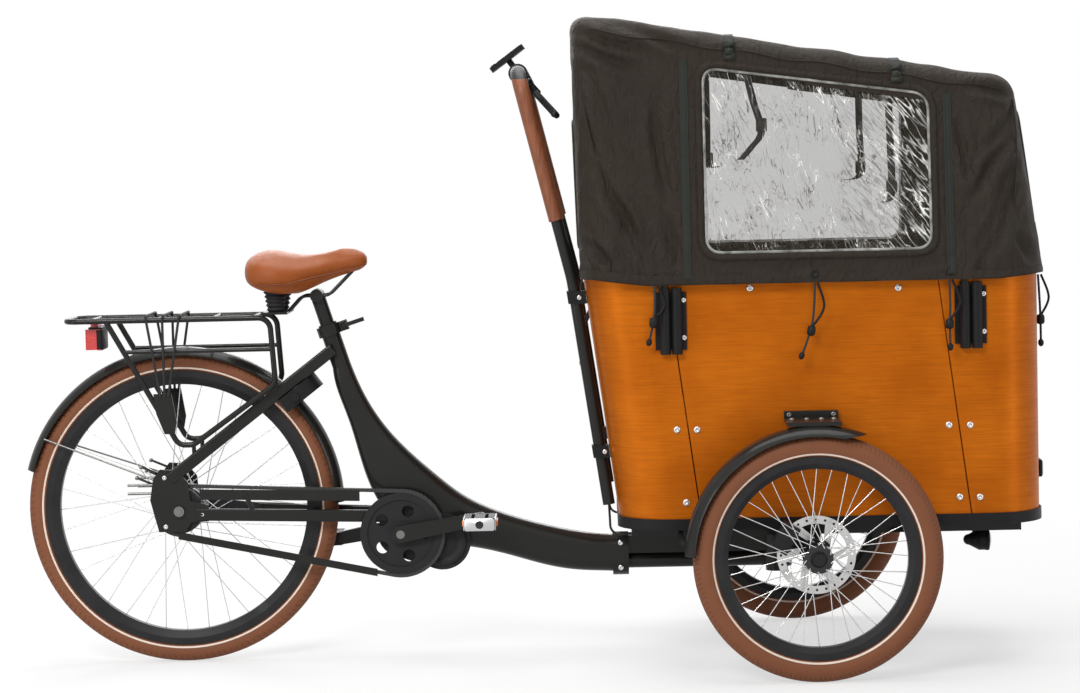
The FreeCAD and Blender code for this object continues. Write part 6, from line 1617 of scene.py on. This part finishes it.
class TRICYCLE_OT_pedals(bpy.types.Operator):
    """Fit each pedal's bright cage plates, with amber reflectors in them"""

    bl_idname = "tricycle.pedals"
    bl_label = "Fit the pedals' plates"

    def execute(self, context):
        for side in SIDES:
            self.pedal("pedal_" + SIDE_NAMES[side], side)
        return {"FINISHED"}

    def pedal(self, name, side):
        """The plates, reflectors and end hole of one pedal."""
        low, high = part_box(name)
        centre = (low + high) / 2
        half_x, half_y, half_z = (high - low) / 2
        cage, ambers, hole = Build(), Build(), Build()
        for end in SIDES:
            along = ACROSS * end
            face = centre + FORWARD * (end * half_x)
            cage.slab(face, along, UP, half_y, half_z, CAGE_DEPTH, CAGE_CORNER)
            amber_sizes = (half_y * AMBER_LONG_SHARE, half_z * AMBER_WIDE_SHARE, AMBER_DEPTH, AMBER_CORNER)
            ambers.slab(face + FORWARD * (end * CAGE_DEPTH), along, UP, *amber_sizes)
        outward = ACROSS * side
        tip = centre + outward * half_y
        cage.slab(tip, FORWARD, outward.cross(FORWARD), half_x, half_z, CAGE_END_DEPTH, CAGE_CORNER)
        # A dark disc stands for the end's hole: painted shade.
        hole.lathe(tip + outward * CAGE_END_DEPTH, outward, PEDAL_HOLE, segments=20)
        hole.piece(name + "_end_hole", name, rubber_black(), "rubber_black")
        cage.piece(name + "_cage", name, bright_alloy(), "bright_alloy")
        amber = finish("lens_amber", lens_plastic, (0.65, 0.16, 0.008))
        ambers.piece(name + "_reflectors", name, amber, "lens_red")


# Handlebar controls

# The top of the handlebar, and the directions of the brake levers' reach and hinge
BAR_TOP = from_front(-0.588, 0, 1.243)
LEVER_OUT = Vector((0.650, 0, -0.760))
LEVER_HINGE = Vector((0.760, 0, 0.650))
# The display's tilt, its height above the bar, its glass and its keys
SCREEN_TILT = math.radians(36)
SCREEN_LIFT = 0.0490
GLASS, GLASS_AHEAD = (0.030, 0.027, 0.0008, 0.004), 0.008
KEY, KEYS_BACK, KEYS_Y = (0.0055, 0.0055, 0.0018, 0.002), 0.033, (-0.014, 0, 0.014)
# The fluid pots beside the levers' hinges
POT, POT_OUT, POT_Y = (0.019, 0.010, 0.026, 0.005), 0.038, 0.066
# A lever's sleeve: shares of the lever's length where it starts and ends, and its section from either end
SLEEVE_FIRST_SHARE, SLEEVE_LAST_SHARE = 0.34, 0.93
SLEEVE_START = ((0, 0.0048), (0.003, 0.0064), (0.012, 0.0067))
SLEEVE_END = ((-0.006, 0.0066), (-0.001, 0.0050), (0, 0.0020))


class TRICYCLE_OT_controls(bpy.types.Operator):
    """Fit the display's glass and keys, and the brake levers' sleeves and fluid pots"""

    bl_idname = "tricycle.controls"
    bl_label = "Fit the handlebar controls"

    def execute(self, context):
        self.screen()
        self.brakes()
        return {"FINISHED"}

    def screen(self):
        """The display's glass, with raised keys below it."""
        along = Vector((math.cos(SCREEN_TILT), 0, math.sin(SCREEN_TILT)))
        normal = along.cross(ACROSS)
        face = BAR_TOP + normal * SCREEN_LIFT
        glass, keys = Build(), Build()
        glass.slab(face + along * GLASS_AHEAD, along, ACROSS, *GLASS)
        for y in KEYS_Y:
            keys.slab(face - along * KEYS_BACK + ACROSS * y, along, ACROSS, *KEY)
        glass.piece("display_glass", "front", finish("screen_glass", screen_glass), "plastic_black")
        keys.piece("display_keys", "front", rubber_black(), "rubber_black")

    def brakes(self):
        """A rubber sleeve on each brake lever, and the fluid pot beside its hinge."""
        pots = Build()
        for side in SIDES:
            name = "brake_lever_" + SIDE_NAMES[side]
            low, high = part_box(name)
            near_y, far_y = (high.y, low.y) if side < 0 else (low.y, high.y)
            root, tip = Vector((low.x, near_y, high.z)), Vector((high.x, far_y, low.z))
            length = (tip - root).length
            first, last = length * SLEEVE_FIRST_SHARE, length * SLEEVE_LAST_SHARE
            profile = [(first + along, radius) for along, radius in SLEEVE_START]
            profile += [(last + along, radius) for along, radius in SLEEVE_END]
            sleeve = Build()
            sleeve.lathe(root, tip - root, profile, segments=16)
            sleeve.piece(name + "_sleeve", name, rubber_black(), "rubber_black")
            seat = BAR_TOP + LEVER_OUT * POT_OUT + ACROSS * (side * POT_Y)
            pots.slab(seat, LEVER_OUT, LEVER_HINGE * -side, *POT)
        pots.piece("brake_fluid_pots", "front", plastic_black(), "plastic_black")


# Drive

# The motor's middle, forward of the rear axle and up; its covers' section, and their ring of screws
MOTOR_DX, MOTOR_Z = 0.557, 0.252
COVER_SECTION = (
    (0, 0.052), (0.003, 0.0515), (0.005, 0.048), (0.005, 0.040), (0.0035, 0.038),
    (0.0035, 0.030), (0.005, 0.028), (0.005, 0.012), (0.004, 0.002),
)
COVER_SCREWS, COVER_SCREW_RING, COVER_SCREW_R = 6, 0.0545, 0.0032
# Screws that tighten the belt, forward of the rear axle and up; their heading, section and inset
BELT_SCREWS = ((-0.050, 0.389), (-0.040, 0.412))
BELT_SCREW_HEADING = Vector((-0.92, 0, 0.39))
BELT_SCREW = ((0, 0.0026), (0.040, 0.0026), (0.040, 0.0045), (0.045, 0.0045), (0.046, 0.0030))
BELT_SCREW_INSET = 0.004


class TRICYCLE_OT_drive(bpy.types.Operator):
    """Fit the motor's covers and the screws that tighten the belt"""

    bl_idname = "tricycle.drive"
    bl_label = "Fit the drive's covers and screws"

    def execute(self, context):
        self.motor_covers()
        self.belt_screws()
        return {"FINISHED"}

    def motor_covers(self):
        """A ribbed round cover on each side of the motor."""
        face_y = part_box("motor_housing")[1].y
        build = Build()
        for side in SIDES:
            hub = from_rear(MOTOR_DX, side * face_y, MOTOR_Z)
            build.lathe(hub, ACROSS * side, COVER_SECTION, segments=40)
            for step in range(COVER_SCREWS):
                angle = 2 * math.pi * step / COVER_SCREWS
                outward = Vector((math.cos(angle), 0, math.sin(angle)))
                dome(build, hub + outward * COVER_SCREW_RING, ACROSS * side, COVER_SCREW_R)
        build.piece("motor_covers", "rear_frame", motor_black(), "motor_black")

    def belt_screws(self):
        """Two screws above each rear dropout that draw the belt tight."""
        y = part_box("dropouts")[1].y - BELT_SCREW_INSET
        build = Build()
        for side in SIDES:
            for dx, z in BELT_SCREWS:
                build.lathe(from_rear(dx, side * y, z), BELT_SCREW_HEADING, BELT_SCREW, segments=12)
        build.piece("belt_screws", "rear_frame", dark_steel(), "bright_steel")


# Camera, floor and light

WHITE = (1.0, 1.0, 1.0, 1.0)
SKY_LIGHT = 0.11
# The floor's half length, where its glow starts to grow and is whole, and its share near the wheels
FLOOR_REACH, FLOOR_NEAR, FLOOR_FAR, FLOOR_GLOW_SHARE = 30.0, 1.3, 2.6, 0.60
CAMERA_PLACE = (-0.425, -6.574, 1.105)
CAMERA_YAW, CAMERA_PITCH, CAMERA_ROLL = -1.16, 3.85, -1.33
CAMERA_LENS, CAMERA_SENSOR = 102.6, 36.0
LAMP_TARGET = Vector((0.1, 0, 0.6))
KEY_PLACE, KEY_SIZE = (-1.6, -4.6, 3.6), (2.0, 1.6)
# The other lamps: place, width and height, and power
FILL_LAMPS = {
    "strip_rear": ((-3.2, -2.6, 1.2), (0.6, 2.6), 24),
    "strip_front": ((3.9, -2.2, 1.2), (0.6, 2.6), 20),
    "top": ((0.2, 0.4, 4.4), (4.0, 4.0), 190),
    "back": ((-0.5, 4.4, 2.6), (3.4, 2.0), 90),
}


class TRICYCLE_OT_stage(bpy.types.Operator):
    """Set the camera, the pale floor and the studio light"""

    bl_idname = "tricycle.stage"
    bl_label = "Set the stage"

    def execute(self, context):
        context.scene.view_settings.view_transform = "Standard"
        self.camera(context)
        self.floor(context)
        self.lamp(context, "key", KEY_PLACE, KEY_SIZE, look().key_power)
        for name, (place, size, power) in FILL_LAMPS.items():
            self.lamp(context, name, place, size, power)
        self.world(context)
        return {"FINISHED"}

    def camera(self, context):
        """A long lens at the photographer's place, turned and tilted a little."""
        lens = bpy.data.cameras.new("camera")
        lens.lens = CAMERA_LENS
        lens.sensor_width = CAMERA_SENSOR
        yaw, pitch, roll = (math.radians(turn) for turn in (CAMERA_YAW, CAMERA_PITCH, CAMERA_ROLL))
        ahead = Vector((math.sin(yaw) * math.cos(pitch), math.cos(yaw) * math.cos(pitch), -math.sin(pitch)))
        right = Vector((math.cos(yaw), -math.sin(yaw), 0))
        above = right.cross(ahead)
        level = right * math.cos(roll) + above * math.sin(roll)
        upward = above * math.cos(roll) - right * math.sin(roll)
        camera = bpy.data.objects.new("camera", lens)
        camera.matrix_world = Matrix((level, upward, -ahead)).transposed().to_4x4()
        camera.location = from_front(*CAMERA_PLACE)
        context.scene.collection.objects.link(camera)
        context.scene.camera = camera

    def floor(self, context):
        """A pale floor that takes the shadows and glows into the background."""
        ends = ((-1, -1), (1, -1), (1, 1), (-1, 1))
        mesh = bpy.data.meshes.new("floor")
        mesh.from_pydata([(x * FLOOR_REACH, y * FLOOR_REACH, 0) for x, y in ends], [], [(0, 1, 2, 3)])
        paint = Paint("floor_pale", roughness=0.8)
        paint.feed("Base Color", paint.mixed(paint.noise(0.6, detail=2.0), grey(0.80), grey(0.84)))
        x, y, _ = paint.axes()
        away = ((x * x + y * y).root() - FLOOR_NEAR) / (FLOOR_FAR - FLOOR_NEAR)
        glow = paint.wire("ShaderNodeEmission", 0, None, {"Color": WHITE, "Strength": 1.0})
        growing = FLOOR_GLOW_SHARE + (1 - FLOOR_GLOW_SHARE) * away.clamped()
        share = paint.backdrop_rays() * growing
        paint.surface = paint.wire("ShaderNodeMixShader", 0, None, {0: share, 1: paint.surface, 2: glow})
        mesh.materials.append(paint.done())
        floor = bpy.data.objects.new("floor", mesh)
        context.scene.collection.objects.link(floor)

    def lamp(self, context, name, place, size, power):
        """One area lamp that faces the tricycle."""
        light = bpy.data.lights.new(name, "AREA")
        light.shape = "RECTANGLE"
        light.size, light.size_y = size
        light.energy = power
        lamp = bpy.data.objects.new(name, light)
        lamp.location = place
        lamp.rotation_euler = (LAMP_TARGET - Vector(place)).to_track_quat("-Z", "Y").to_euler()
        context.scene.collection.objects.link(lamp)

    def world(self, context):
        """White where it is seen, and dim as a light."""
        world = bpy.data.worlds.new("studio")
        context.scene.world = world
        sky = Tree(world)
        dim = sky.wire("ShaderNodeBackground", 0, None, {"Color": WHITE, "Strength": SKY_LIGHT})
        bright = sky.wire("ShaderNodeBackground", 0, None, {"Color": WHITE, "Strength": 1.0})
        blend = sky.wire("ShaderNodeMixShader", 0, None, {0: sky.backdrop_rays(), 1: dim, 2: bright})
        sky.add("ShaderNodeOutputWorld", None, {"Surface": blend})


# Panel and running order

OPERATORS = (
    TRICYCLE_OT_stage, TRICYCLE_OT_finishes, TRICYCLE_OT_tent, TRICYCLE_OT_cords, TRICYCLE_OT_saddle,
    TRICYCLE_OT_bolts, TRICYCLE_OT_lights, TRICYCLE_OT_pedals, TRICYCLE_OT_controls, TRICYCLE_OT_drive,
)


class TRICYCLE_PT_panel(bpy.types.Panel):
    """The tricycle's settings and its steps in order"""

    bl_label = "Cargo tricycle"
    bl_idname = "TRICYCLE_PT_panel"
    bl_space_type = "VIEW_3D"
    bl_region_type = "UI"
    bl_category = "Tricycle"

    def draw(self, context):
        for name in TricycleLook.__annotations__:
            self.layout.prop(context.scene.tricycle_look, name)
        for operator in OPERATORS:
            self.layout.operator(operator.bl_idname)


CLASSES = (TricycleLook, *OPERATORS, TRICYCLE_PT_panel)


def register():
    for each in CLASSES:
        bpy.utils.register_class(each)
    bpy.types.Scene.tricycle_look = bpy.props.PointerProperty(type=TricycleLook)


def unregister():
    del bpy.types.Scene.tricycle_look
    for each in reversed(CLASSES):
        bpy.utils.unregister_class(each)


def main():
    register()
    for operator in OPERATORS:
        group, name = operator.bl_idname.split(".")
        getattr(getattr(bpy.ops, group), name)()


if __name__ == "__main__":
    main()
